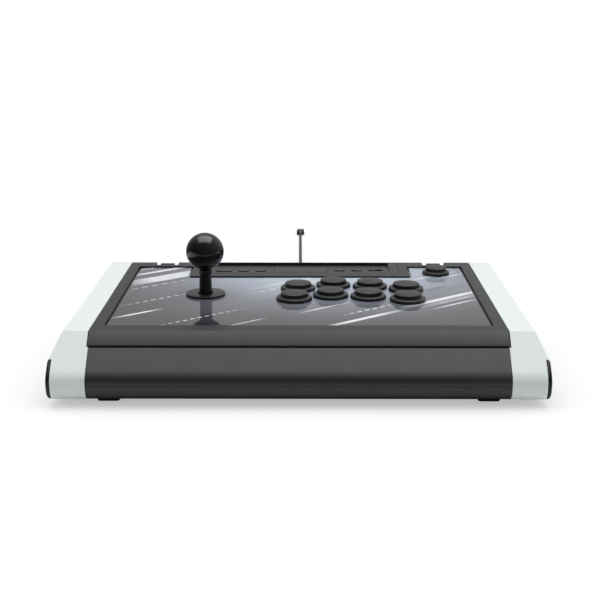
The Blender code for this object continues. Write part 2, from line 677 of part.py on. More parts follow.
# ---- stick ----
def make_stick_mount():
    """Mounting plate, housing with its square gate, and the switch board inside it."""
    x, v = STICK
    top = PLATE_BOTTOM - GAP
    plate = slab(rectangle(x - 32.5, x + 32.5, v - 47.0, v + 47.0), top - 1.6, top)
    plate_piece = add_piece("stick_mount_plate", plate, "steel", panel_frame)
    cut(plate_piece, slab(circle(14.5, 24, STICK), -20.0, 5.0), "mount_plate_hole")

    high, low = top - 1.6 - GAP, -38.0
    box = slab(rectangle(-30.0, 30.0, -30.0, 30.0), low, high)
    housing = add_piece("stick_housing", box, "black_cap", panel_frame, (x, v, 0.0))
    cavity = slab(rectangle(-27.0, 27.0, -27.0, 27.0), low + 2.0, high - 2.4)
    cut(housing, cavity, "housing_cavity", (x, v, 0.0))
    openings = joined(slab(circle(14.5, 24), high - 4.0, high + 4.0),
                      slab(rounded_rectangle(25.6, 25.6, 3.0), low - 4.0, low + 4.0))
    cut(housing, openings, "housing_openings", (x, v, 0.0))
    bosses = [slab(rectangle(-4.5, 4.5, *sorted((side * 14.9, side * 28.0))), -18.0, high - 1.0)
              for side in (-1, 1)]
    fuse(housing, joined(*bosses), "housing_bosses", (x, v, 0.0))
    bore = moved(turned([(TRUNNION + GAP, -20.0), (TRUNNION + GAP, 20.0)], 12),
                 (0.0, 0.0, PIVOT_H), TO_Y)
    cut(housing, bore, "housing_bores", (x, v, 0.0))

    board = slab(rectangle(-26.5, 26.5, -26.5, 26.5), -26.6, -25.0)
    switches = add_piece("stick_switches", board, "board_green", panel_frame, (x, v, 0.0))
    cut(switches, slab(circle(13.5, 24), -40.0, 0.0), "switch_board_hole", (x, v, 0.0))
    blocks = []
    for quarter in range(4):
        block = slab(rectangle(16.5, 22.5, -9.0, 9.0), -35.4, -26.4)
        blocks.append(moved(block, rotation=Matrix.Rotation(quarter * math.pi / 2, 4, "Z")))
    fuse(switches, joined(*blocks), "switch_blocks", (x, v, 0.0))


def make_gimbal():
    """Ring that tilts left and right in the housing and carries the shaft's cross pins."""
    ring = turned_ring([(9.5, -2.5), (13.0, -2.5), (13.0, 2.5), (9.5, 2.5)], 24)
    gimbal = add_piece("stick_gimbal", ring, "steel", tilt_pivot)
    for side in (-1, 1):
        stub = moved(turned([(TRUNNION, 12.0), (TRUNNION, 19.0)], 12),
                     rotation=Matrix.Rotation(-side * math.pi / 2, 4, "X"))
        fuse(gimbal, stub, "gimbal_trunnion")
    bore = moved(turned([(TRUNNION + GAP, -15.0), (TRUNNION + GAP, 15.0)], 12), rotation=TO_X)
    cut(gimbal, bore, "gimbal_bores")


def make_stick():
    base = -PIVOT_H
    hub = 6.0
    shaft = turned([(SHAFT_RADIUS, -31.0), (SHAFT_RADIUS, -4.0), (hub, -4.0), (hub, 4.0),
                    (SHAFT_RADIUS, 4.0), (SHAFT_RADIUS, base + 35.6)], 16)
    piece = add_piece("stick_shaft", shaft, "steel", stick_pivot)
    fuse(piece, moved(turned([(TRUNNION, -12.6), (TRUNNION, 12.6)], 12), rotation=TO_X), "shaft_pins")

    bore = SHAFT_RADIUS + GAP
    centre = base + BALL_CENTRE_H
    levels = [math.radians(a) for a in range(-70, 87, 12)]
    cover_top = centre + BALL_RADIUS * math.sin(levels[0]) - GAP
    cover = turned_ring([(bore, 4.6), (COVER_RADIUS + 0.25, 4.6), (COVER_RADIUS + 0.2, base + 2.0),
                         (COVER_RADIUS - 0.1, cover_top), (bore, cover_top)], 24)
    add_piece("shaft_cover", cover, "ball_black", stick_pivot)

    profile = [(BALL_RADIUS * math.cos(a), centre + BALL_RADIUS * math.sin(a)) for a in levels]
    ball_piece = add_piece("ball_top", turned(profile, 24), "ball_black", stick_pivot)
    socket = turned([(bore, centre - 30.0), (bore, centre - 3.8)], 16)
    cut(ball_piece, socket, "ball_socket")

    actuator = turned_ring([(bore, -26.0), (8.2, -26.0), (8.2, -20.0), (5.5, -18.6), (bore, -18.6)], 20)
    add_piece("stick_actuator", actuator, "black_cap", stick_pivot)
    add_spring()


def add_spring():
    """Return spring round the shaft between the pivot and the actuator."""
    turns, per_turn, radius, top, bottom = 4, 10, 6.4, -5.0, -17.6
    curve = bpy.data.curves.new("stick_spring", "CURVE")
    curve.dimensions = "3D"
    curve.bevel_depth = 0.6 * MM
    curve.bevel_resolution = 1
    curve.use_fill_caps = True
    spline = curve.splines.new("POLY")
    count = turns * per_turn + 1
    spline.points.add(count - 1)
    for i, point in enumerate(spline.points):
        angle = 2 * math.pi * i / per_turn
        height = top + (bottom - top) * i / (count - 1)
        place = Vector((radius * math.cos(angle), radius * math.sin(angle), height)) * MM
        point.co = (*place, 1.0)
    spring = bpy.data.objects.new("stick_spring", curve)
    bpy.context.scene.collection.objects.link(spring)
    spring.parent = stick_pivot
    curve.materials.append(finishes["steel"])


def make_dust_washer():
    """Washer that lies on the sheet; its hole is long up the slope to leave the shaft's travel."""
    edge = 0.4
    levels = [(0.0, edge), (edge, 0.0), (WASHER_THICK - edge, 0.0), (WASHER_THICK, edge)]
    rings = [[(x, y, z) for x, y in circle(WASHER_RADIUS - inward, 32)] for z, inward in levels]
    washer = add_piece("dust_washer", loft(rings), "button_black", panel_frame,
                       (*STICK, GAP - ART_RECESS))
    half = COVER_RADIUS + 0.65
    hole = rounded_rectangle(2 * half, 2 * (half + WASHER_SHIFT), half - 0.05)
    cut(washer, slab(hole, -3.0, 5.0), "washer_hole", (*STICK, GAP - ART_RECESS))


# ---- cable ----
def add_tube(name, route, count):
    """Cable along a smooth curve through the route's points."""
    curve = bpy.data.curves.new(name, "CURVE")
    curve.dimensions = "3D"
    curve.bevel_depth = CABLE_RADIUS * MM
    curve.bevel_resolution = 2
    curve.use_fill_caps = True
    spline = curve.splines.new("POLY")
    points = smooth_points(route, count)
    spline.points.add(count - 1)
    for point, place in zip(spline.points, points):
        point.co = (*(place * MM), 1.0)
    tube = bpy.data.objects.new(name, curve)
    bpy.context.scene.collection.objects.link(tube)
    curve.materials.append(finishes["cable_black"])


def smooth_points(route, count):
    """Evenly spaced points of a Catmull-Rom curve through the route."""
    knots = [Vector(p) for p in route]
    knots = [2 * knots[0] - knots[1]] + knots + [2 * knots[-1] - knots[-2]]
    fine = []
    steps = 40
    for a, b, c, d in zip(knots, knots[1:], knots[2:], knots[3:]):
        for step in range(steps):
            t = step / steps
            fine.append(0.5 * (2 * b + (c - a) * t + (2 * a - 5 * b + 4 * c - d) * t ** 2
                               + (3 * b - a - 3 * c + d) * t ** 3))
    fine.append(knots[-2])
    reach = [0.0]
    for before, after in zip(fine, fine[1:]):
        reach.append(reach[-1] + (after - before).length)
    points = []
    k = 0
    for i in range(count):
        wanted = reach[-1] * i / (count - 1)
        while k < len(reach) - 2 and reach[k + 1] < wanted:
            k += 1
        part = (wanted - reach[k]) / (reach[k + 1] - reach[k])
        points.append(fine[k].lerp(fine[k + 1], min(max(part, 0.0), 1.0)))
    return points


FLOOR_Z = CABLE_RADIUS + 0.1
OUT_ROUTE = [(0.0, RELIEF_END_Y + GAP, CABLE_EXIT_Z), (0.0, 178.0, 27.2), (0.1, 188.0, 21.5),
             (0.5, 196.5, 11.0), (1.2, 206.0, 3.6), (1.8, 213.0, FLOOR_Z), (2.0, 220.0, FLOOR_Z)]
BACK_ROUTE = [(2.0, 254.0, 13.5), (2.0, 264.0, 9.5), (1.9, 276.0, 4.2), (1.7, 288.0, FLOOR_Z),
              (1.4, 300.0, FLOOR_Z), (0.5, 350.0, FLOOR_Z), (-0.4, 420.0, FLOOR_Z),
              (-1.3, 500.0, FLOOR_Z), (-2.0, 580.0, FLOOR_Z), (-2.4, 650.0, FLOOR_Z),
              (-2.8, 720.0, FLOOR_Z), (-3.2, 790.0, FLOOR_Z), (-3.5, 845.0, FLOOR_Z),
              (-3.6, 862.0, FLOOR_Z + 0.6), (PLUG_AXIS_X, CABLE_END_Y, PLUG_AXIS_Z)]


def make_cable():
    relief = [(6.6, RELIEF_START_Y), (6.6, RELIEF_START_Y + 2.0), (4.6, RELIEF_START_Y + 3.0),
              (3.9, RELIEF_START_Y + 14.0), (2.9, RELIEF_END_Y)]
    neck = [(4.7, RELIEF_START_Y - 9.0), (4.7, RELIEF_START_Y)]
    piece = moved(turned(neck + relief, 16), (0.0, 0.0, CABLE_EXIT_Z), TO_Y)
    add_piece("strain_relief", piece, "rubber")
    add_tube("cable_run_out", OUT_ROUTE, 9)
    coil = [(COIL_INNER, 1.5), (COIL_INNER + 1.5, 0.0), (COIL_OUTER - 1.5, 0.0), (COIL_OUTER, 1.5),
            (COIL_OUTER, COIL_HEIGHT - 1.5), (COIL_OUTER - 1.5, COIL_HEIGHT),
            (COIL_INNER + 1.5, COIL_HEIGHT), (COIL_INNER, COIL_HEIGHT - 1.5)]
    add_piece("cable_coil", turned_ring(coil, 24), "cable_black", at=(*COIL_CENTRE, 0.1))
    add_tube("cable_run_back", BACK_ROUTE, 56)
    grip_start = CABLE_END_Y + GAP
    grip = [(4.0, 2.6, 0.0), (11.0, 7.6, 5.0), (11.6, 8.0, 8.0), (11.6, 8.0, 24.0), (10.6, 7.0, 25.0)]
    rings = []
    for width, height, along in grip:
        outline = rounded_rectangle(width, height, min(width, height) * 0.3, 2)
        rings.append([(PLUG_AXIS_X + x, grip_start + along, PLUG_AXIS_Z + z) for x, z in outline])
    plug = add_piece("usb_plug", loft(rings), "cable_black")
    shell_half_width, shell_half_height, shell_start, shell_end = 6.0, 2.2, 24.0, 42.0
    shell = rectangle(PLUG_AXIS_X - shell_half_width, PLUG_AXIS_X + shell_half_width,
                      grip_start + shell_start, grip_start + shell_end)
    fuse(plug, slab(shell, PLUG_AXIS_Z - shell_half_height, PLUG_AXIS_Z + shell_half_height),
         "plug_shell")


clear_scene()
finishes = make_finishes()
hinge_y, hinge_z = panel_to_world(HINGE_V, HINGE_H)
lid_pivot = add_empty("lid_pivot", (0.0, hinge_y, hinge_z), tilt=PANEL_TILT)
panel_frame = add_empty("panel_frame", (0.0, -HINGE_V, -HINGE_H), lid_pivot)
bay_frame = add_empty("bay_frame", (0.0, BAY_FRONT_V, -BAY_LIP), panel_frame, -PANEL_TILT)
tilt_pivot = add_empty("tilt_pivot", (*STICK, PIVOT_H), panel_frame)
stick_pivot = add_empty("stick_pivot", (0.0, 0.0, 0.0), tilt_pivot)

make_lower_case()
make_base_plate()
make_wings()
make_side_caps()
make_feet()
make_main_board()
make_catch_magnet()
make_hinges()
make_top_frame()
make_art_panel()
make_panel_plate()
make_control_strip()
make_controls()
make_buttons()
make_stick_mount()
make_gimbal()
make_stick()
make_dust_washer()
make_cable()
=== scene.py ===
"""Looks of the arcade joystick panel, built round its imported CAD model. Everything is in metres.

World frame: +X to the player's right, +Y away from the player, +Z up, feet on Z = 0.
Panel frame: x across, v up the slope from the top's front edge, h square out of the panel.
Bay frame: level, x across, y back from the control bay's front edge, z up from its floor.
"""
import json
import math

import bmesh
import bpy
from mathutils import Matrix, Vector


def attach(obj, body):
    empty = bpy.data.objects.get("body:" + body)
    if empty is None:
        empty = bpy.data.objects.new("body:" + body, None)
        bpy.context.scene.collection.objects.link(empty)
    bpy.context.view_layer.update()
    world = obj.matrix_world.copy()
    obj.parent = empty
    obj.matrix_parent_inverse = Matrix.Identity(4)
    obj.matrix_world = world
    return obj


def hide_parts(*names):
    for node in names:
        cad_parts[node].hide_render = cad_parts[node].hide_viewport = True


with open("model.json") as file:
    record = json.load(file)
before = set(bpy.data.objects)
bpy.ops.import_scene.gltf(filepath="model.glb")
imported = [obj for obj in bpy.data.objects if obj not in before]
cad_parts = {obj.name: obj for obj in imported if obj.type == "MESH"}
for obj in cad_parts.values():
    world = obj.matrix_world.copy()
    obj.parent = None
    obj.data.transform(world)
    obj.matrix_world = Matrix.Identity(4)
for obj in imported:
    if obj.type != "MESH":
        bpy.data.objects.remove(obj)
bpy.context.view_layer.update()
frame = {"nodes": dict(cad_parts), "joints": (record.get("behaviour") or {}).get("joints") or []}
nodes = frame["nodes"]
joints = {joint["name"]: joint for joint in frame["joints"]}

# ---- frames of reference ----
HINGE_V = 0.2505                 # the lid's hinge axis in the panel frame
HINGE_H = -0.006
BAY_FRONT_V = 0.212
BAY_LIP = 0.0002

across = Vector((1.0, 0.0, 0.0))
up_slope = Vector(joints["stick_left_right"]["axis"]).normalized()
out = across.cross(up_slope)
hinge = Vector(joints["lid_hinge"]["pos_m"])
front_edge = hinge - up_slope * HINGE_V - out * HINGE_H
turn = Matrix((across, up_slope, out)).transposed().to_4x4()
WORLD = Matrix.Identity(4)
PANEL = Matrix.Translation(front_edge) @ turn
BAY = Matrix.Translation(PANEL @ Vector((0.0, BAY_FRONT_V, -BAY_LIP)))
TO_X = Matrix.Rotation(math.pi / 2, 4, "Y")      # turns the z axis onto x
TO_Y = Matrix.Rotation(-math.pi / 2, 4, "X")     # turns the z axis onto y


def node_box(name, place=WORLD):
    """Lowest and highest corner of a CAD node, in the given frame."""
    to_local = place.inverted()
    points = [to_local @ vertex.co for vertex in nodes[name].data.vertices]
    return Vector(map(min, zip(*points))), Vector(map(max, zip(*points)))


def node_middle(name, place=WORLD):
    low, high = node_box(name, place)
    return (low + high) / 2


# ---- driving dimensions that the frame's boxes don't give ----
SLOPE_END = (-0.1382, 0.032)     # (y, z) of the body's outline: end of the front slope
NOSE = (-0.144, 0.022)
UNDERSIDE_FRONT = (-0.131, 0.006)
UNDERSIDE_BACK = (0.126, 0.006)
HEEL = (0.1385, 0.022)
PARTING_Z = 0.0188               # fine line round the nose where the mould halves met
WALL = 0.003
SEAM = 0.0003
GROOVE = 0.0018
CREASE_DEPTH = 0.018
LEDGE_DEPTH = 0.0005             # height of the underside of the wing's crease, over the cap
WING_INNER_X = 0.1743            # beside the lid
WING_TOP_X = 0.1953
WING_SIDE_X = 0.2013             # upright side behind the cap
SWEEP = 0.00775                  # radius swept by the lid's lower back corner
TONGUE_HALF_WIDTH = 0.1087
TONGUE_FRONT_V = 0.195
BAY_HALF_WIDTH = 0.09
BAY_DEPTH = 0.042
GAP = 0.0003

lid_low, lid_high = node_box("top_frame", PANEL)
case_high = node_box("lower_case")[1]
wing_low, wing_high = node_box("wing_right")
cap_low, cap_high = node_box("side_cap_right")
art_low, art_high = node_box("art_panel", PANEL)
strip_low, strip_high = node_box("control_strip", PANEL)
PANEL_DEPTH = lid_high.y
LID_HALF_WIDTH = lid_high.x
LID_SKIRT = -lid_low.z
back_edge = PANEL @ Vector((0.0, PANEL_DEPTH, 0.0))
FRONT_EDGE = (front_edge.y, front_edge.z)
BACK_EDGE = (back_edge.y, back_edge.z)


# ---- outlines ----
def bend(start, corner, end, steps):
    """Smooth turn from start to end whose tangents meet at corner; both ends left out."""
    points = []
    for step in range(1, steps):
        t = step / steps
        a, b, c = (1 - t) ** 2, 2 * t * (1 - t), t ** 2
        points.append(tuple(a * s + b * m + c * e for s, m, e in zip(start, corner, end)))
    return points


def rounded(corners, steps=5):
    """Closed outline through (a, b, radius) corners, each turned on an arc of its radius."""
    points = []
    count = len(corners)
    for i in range(count):
        here = Vector(corners[i][:2])
        before = Vector(corners[i - 1][:2]) - here
        after = Vector(corners[(i + 1) % count][:2]) - here
        radius = corners[i][2]
        if radius <= 0.0:
            points.append(tuple(here))
            continue
        before.normalize()
        after.normalize()
        half = before.angle(after) / 2
        middle = here + (before + after).normalized() * (radius / math.sin(half))
        start = here + before * (radius / math.tan(half)) - middle
        sweep = math.pi - 2 * half
        side = 1.0 if before.cross(after) < 0.0 else -1.0
        for step in range(steps + 1):
            angle = side * sweep * step / steps
            cos, sin = math.cos(angle), math.sin(angle)
            points.append((middle.x + start.x * cos - start.y * sin,
                           middle.y + start.x * sin + start.y * cos))
    return points


def rectangle(x0, x1, y0, y1, radius=0.0):
    return rounded([(x0, y0, radius), (x1, y0, radius), (x1, y1, radius), (x0, y1, radius)])


def circle(radius, sides, centre=(0.0, 0.0)):
    turns = [2 * math.pi * i / sides for i in range(sides)]
    return [(centre[0] + radius * math.cos(a), centre[1] + radius * math.sin(a)) for a in turns]


def inset(outline, distance):
    """Move each side of a closed outline inwards by distance."""
    area = sum(a[0] * b[1] - b[0] * a[1] for a, b in zip(outline, outline[1:] + outline[:1]))
    side = 1.0 if area > 0 else -1.0
    result = []
    for before, here, after in zip(outline[-1:] + outline[:-1], outline, outline[1:] + outline[:1]):
        d0 = (Vector(here) - Vector(before)).normalized()
        d1 = (Vector(after) - Vector(here)).normalized()
        n0 = Vector((-d0.y, d0.x)) * side
        n1 = Vector((-d1.y, d1.x)) * side
        shift = (n0 + n1) * (distance / (1.0 + n0.dot(n1)))
        result.append((here[0] + shift.x, here[1] + shift.y))
    return result


def panel_height(y, z):
    """How far a world point lies above the panel's plane."""
    return (Vector((0.0, y, z)) - front_edge).dot(out)


def on_segment(start, end, h):
    """Point of a straight (y, z) segment, or of its extension, at height h from the panel."""
    h0, h1 = panel_height(*start), panel_height(*end)
    t = (h - h0) / (h1 - h0)
    return (start[0] + t * (end[0] - start[0]), start[1] + t * (end[1] - start[1]))


def parting_line(outline):
    """The outline with a fine V groove pressed in where the mould halves meet, at PARTING_Z."""
    depth = 0.00025
    points = []
    for (y0, z0), (y1, z1) in zip(outline, outline[1:] + outline[:1]):
        points.append((y0, z0))
        if y0 < 0.0 and z0 > PARTING_Z > z1:
            for z, inward in ((PARTING_Z + depth, 0.0), (PARTING_Z, depth), (PARTING_Z - depth, 0.0)):
                share = (z0 - z) / (z0 - z1)
                points.append((y0 + (y1 - y0) * share + inward, z))
    return points


def under_outline():
    """The body's outline from the front slope's end, round the nose and underside, to the heel."""
    brow = (NOSE[0], SLOPE_END[1] - (SLOPE_END[0] - NOSE[0]))
    chin = (NOSE[0], UNDERSIDE_FRONT[1])
    sole = (HEEL[0] - 0.002, UNDERSIDE_BACK[1])
    points = [SLOPE_END]
    points += bend(SLOPE_END, brow, NOSE, 8)
    points += [NOSE]
    points += bend(NOSE, chin, UNDERSIDE_FRONT, 14)
    points += [UNDERSIDE_FRONT, UNDERSIDE_BACK]
    points += bend(UNDERSIDE_BACK, sole, HEEL, 10)
    points += [HEEL]
    return points


def body_outline(heights):
    """Closed outline with front and back points at each of the given heights, highest first."""
    front = [on_segment(FRONT_EDGE, SLOPE_END, h) for h in heights]
    back = [on_segment(BACK_EDGE, HEEL, h) for h in reversed(heights)]
    return front + under_outline() + back


# ---- mesh building ----
def loft(rings, closed=False):
    """Skin rings that have the same number of points; capped at both ends unless closed."""
    mesh = bmesh.new()
    rows = [[mesh.verts.new(point) for point in ring] for ring in rings]
    count = len(rows[0])
    pairs = list(zip(rows, rows[1:]))
    if closed:
        pairs.append((rows[-1], rows[0]))
    else:
        mesh.faces.new(rows[0])
        mesh.faces.new(rows[-1])
    for low, high in pairs:
        for i in range(count):
            j = (i + 1) % count
            mesh.faces.new((low[i], low[j], high[j], high[i]))
    bmesh.ops.recalc_face_normals(mesh, faces=mesh.faces)
    return mesh


def prism(outline, x0, x1):
    """Prism of a (y, z) outline between two x planes."""
    return loft([[(x, y, z) for y, z in outline] for x in (x0, x1)])


def slab(outline, z0, z1):
    """Prism of an (x, y) outline between two z planes."""
    return loft([[(x, y, z) for x, y in outline] for z in (z0, z1)])


def turned(profile, sides=64):
    """Solid of revolution about z; profile is a list of (radius, z) from one end to the other."""
    return loft([[(x, y, z) for x, y in circle(radius, sides)] for radius, z in profile])


def turned_ring(profile, sides=64):
    """Hollow solid of revolution about z; profile is a closed loop of (radius, z)."""
    rings = []
    for i in range(sides):
        angle = 2 * math.pi * i / sides
        rings.append([(r * math.cos(angle), r * math.sin(angle), z) for r, z in profile])
    return loft(rings, closed=True)


def moved(mesh, offset=(0.0, 0.0, 0.0), rotation=None):
    if rotation is not None:
        mesh.transform(rotation)
    mesh.transform(Matrix.Translation(Vector(offset)))
    return mesh


def joined(*meshes):
    """Put separate closed shapes into one mesh."""
    whole = bmesh.new()
    for part in meshes:
        holder = bpy.data.meshes.new("part")
        part.to_mesh(holder)
        part.free()
        whole.from_mesh(holder)
        bpy.data.meshes.remove(holder)
    return whole


def new_object(name, mesh, place):
    data = bpy.data.meshes.new(name)
    mesh.to_mesh(data)
    mesh.free()
    piece = bpy.data.objects.new(name, data)
    bpy.context.scene.collection.objects.link(piece)
    piece.matrix_world = place
    return piece


def add_piece(name, mesh, material, body, place=WORLD, replaces=(), sharp=None):
    """A shown piece. With sharp, edges that turn by more than that many degrees stay crisp."""
    piece = new_object(name, mesh, place)
    piece.data.materials.append(materials[material])
    piece.data.shade_smooth()
    if sharp is not None:
        piece.data.set_sharp_from_angle(angle=math.radians(sharp))
    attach(piece, body)
    if replaces:
        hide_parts(*replaces)
    return piece


def cut(piece, *meshes):
    """Take shapes, given in the piece's own frame, out of it."""
    tool = new_object(piece.name + "_cutter", joined(*meshes), WORLD)
    tool.parent = piece
    tool.hide_render = True
    tool.hide_viewport = True
    modifier = piece.modifiers.new("cut", "BOOLEAN")
    modifier.operation = "DIFFERENCE"
    modifier.solver = "EXACT"
    modifier.object = tool


def soften(piece, width, segments=2, angle=30.0):
    """Round every edge that turns by more than angle degrees."""
    modifier = piece.modifiers.new("soften", "BEVEL")
    modifier.width = width
    modifier.segments = segments
    modifier.limit_method = "ANGLE"
    modifier.angle_limit = math.radians(angle)
    modifier.harden_normals = True
    modifier.use_clamp_overlap = True


# ---- materials ----
materials = {}


def node(tree, kind, inputs=None, **settings):
    """Add a shader node; an input is a constant or another node's output."""
    made = tree.nodes.new(kind)
    for key, value in settings.items():
        setattr(made, key, value)
    for key, value in (inputs or {}).items():
        if isinstance(value, bpy.types.NodeSocket):
            tree.links.new(value, made.inputs[key])
        else:
            made.inputs[key].default_value = value
    return made


def maths(tree, operation, first, second=0.0, clamp=False):
    made = node(tree, "ShaderNodeMath", {0: first, 1: second}, operation=operation)
    made.use_clamp = clamp
    return made.outputs[0]


def remap(tree, value, low, high, to_low, to_high):
    inputs = {"Value": value, "From Min": low, "From Max": high, "To Min": to_low, "To Max": to_high}
    return node(tree, "ShaderNodeMapRange", inputs).outputs["Result"]


def mix(tree, factor, first, second, blend="MIX"):
    made = node(tree, "ShaderNodeMix", data_type="RGBA", blend_type=blend)
    for index, value in ((0, factor), (6, first), (7, second)):
        if isinstance(value, bpy.types.NodeSocket):
            tree.links.new(value, made.inputs[index])
        else:
            made.inputs[index].default_value = value if index == 0 else (*value[:3], 1.0)
    return made.outputs[2]


def noise(tree, scale, detail=3.0, coordinates=None):
    inputs = {"Scale": scale, "Detail": detail}
    inputs["Vector"] = coordinates or node(tree, "ShaderNodeTexCoord").outputs["Object"]
    return node(tree, "ShaderNodeTexNoise", inputs).outputs["Fac"]


def new_material(name, **sockets):
    """A Principled material; sockets are given as Base_Color=... and set on the shader itself."""
    material = bpy.data.materials.new(name)
    material.use_nodes = True
    tree = material.node_tree
    shader = tree.nodes["Principled BSDF"]
    for key, value in sockets.items():
        shader.inputs[key.replace("_", " ")].default_value = value
    materials[name] = material
    return tree, shader


def add_bump(tree, shader, height, strength, distance):
    bump = node(tree, "ShaderNodeBump", {"Strength": strength, "Distance": distance, "Height": height})
    tree.links.new(bump.outputs["Normal"], shader.inputs["Normal"])


def moulded(name, colour, roughness, grain=0.25, variation=0.08, grain_scale=1600.0, **sockets):
    """Injection-moulded plastic: faint flow marks, a fine spark-eroded grain, slightly uneven gloss."""
    tree, shader = new_material(name, **sockets)
    flow = noise(tree, 14.0, 4.0)
    dark = [c * (1.0 - variation) for c in colour]
    light = [c * (1.0 + variation) for c in colour]
    tree.links.new(mix(tree, flow, dark, light), shader.inputs["Base Color"])
    patches = noise(tree, 55.0, 3.0)
    gloss = remap(tree, patches, 0.3, 0.7, roughness - 0.025, roughness + 0.025)
    tree.links.new(gloss, shader.inputs["Roughness"])
    add_bump(tree, shader, noise(tree, grain_scale, 2.0), grain, 0.00006)


def make_steel():
    """Brushed zinc-plated steel."""
    tree, shader = new_material("steel", Metallic=1.0)
    place = node(tree, "ShaderNodeTexCoord").outputs["Object"]
    brushed = node(tree, "ShaderNodeMapping", {"Vector": place, "Scale": (20.0, 900.0, 900.0)})
    lines = noise(tree, 1.0, 4.0, brushed.outputs["Vector"])
    cloud = noise(tree, 40.0, 3.0)
    tone = mix(tree, cloud, (0.50, 0.51, 0.53), (0.62, 0.63, 0.64))
    tree.links.new(tone, shader.inputs["Base Color"])
    tree.links.new(remap(tree, lines, 0.3, 0.7, 0.28, 0.42), shader.inputs["Roughness"])
    add_bump(tree, shader, lines, 0.15, 0.00004)


def make_board():
    """Green circuit board: copper tracks under the lacquer and tinned dots."""
    tree, shader = new_material("board_green", Roughness=0.35)
    place = node(tree, "ShaderNodeTexCoord").outputs["Object"]
    brick = node(tree, "ShaderNodeTexBrick", {"Vector": place, "Scale": 160.0, "Mortar Size": 0.035,
                                             "Color1": (0.012, 0.10, 0.045, 1.0),
                                             "Color2": (0.010, 0.085, 0.04, 1.0),
                                             "Mortar": (0.03, 0.20, 0.08, 1.0)})
    dots = node(tree, "ShaderNodeTexVoronoi", {"Vector": place, "Scale": 240.0}).outputs["Distance"]
    solder = maths(tree, "LESS_THAN", dots, 0.16)
    colour = mix(tree, solder, brick.outputs["Color"], (0.45, 0.45, 0.43))
    tree.links.new(colour, shader.inputs["Base Color"])
    add_bump(tree, shader, brick.outputs["Fac"], 0.3, 0.00005)


# streaks of the printed sheet: across = place square to the streaks, along = from and to, metres
STREAK_ANGLE = math.radians(39.0)
# (across, half width, along from, along to, brightness, dash length or 0)
STREAKS = [
    (0.090, 0.0009, -0.086, 0.014, 0.85, 0.0075),
    (0.135, 0.0018, -0.100, -0.046, 0.95, 0.0),
    (0.1665, 0.0010, -0.078, 0.030, 0.70, 0.0085),
    (0.213, 0.0012, -0.045, 0.040, 0.55, 0.0110),
    (0.234, 0.0095, -0.030, 0.075, 0.85, 0.0),
    (0.2605, 0.0030, -0.020, 0.095, 0.90, 0.0),
    (0.277, 0.0016, 0.000, 0.110, 0.75, 0.0),
    (0.0525, 0.0011, -0.040, 0.008, 0.60, 0.0),
    (-0.0015, 0.0026, 0.020, 0.122, 0.95, 0.0),
    (0.0035, 0.0034, 0.118, 0.240, 0.90, 0.0),
    (-0.0055, 0.0030, 0.128, 0.225, 0.55, 0.0034),
    (-0.0165, 0.0012, 0.136, 0.200, 0.85, 0.0),
    (0.0735, 0.0016, 0.196, 0.262, 0.80, 0.0),
    (0.0175, 0.0013, 0.060, 0.128, 0.80, 0.0090),
    (0.0475, 0.0014, 0.036, 0.098, 0.75, 0.0),
    (0.062, 0.0012, 0.220, 0.262, 0.85, 0.0),
    (0.130, 0.0022, 0.035, 0.160, 0.45, 0.0120),
    (0.143, 0.0045, 0.050, 0.190, 0.30, 0.0),
]
# darker bars: (across, half width, along from, along to, strength)
SHADES = [
    (0.0355, 0.0035, 0.172, 0.214, 0.45),
    (0.2195, 0.0032, -0.030, 0.080, 0.45),
    (0.2510, 0.0042, -0.020, 0.085, 0.35),
    (0.0265, 0.0040, 0.118, 0.250, 0.20),
    (-0.0110, 0.0022, 0.128, 0.240, 0.35),
]


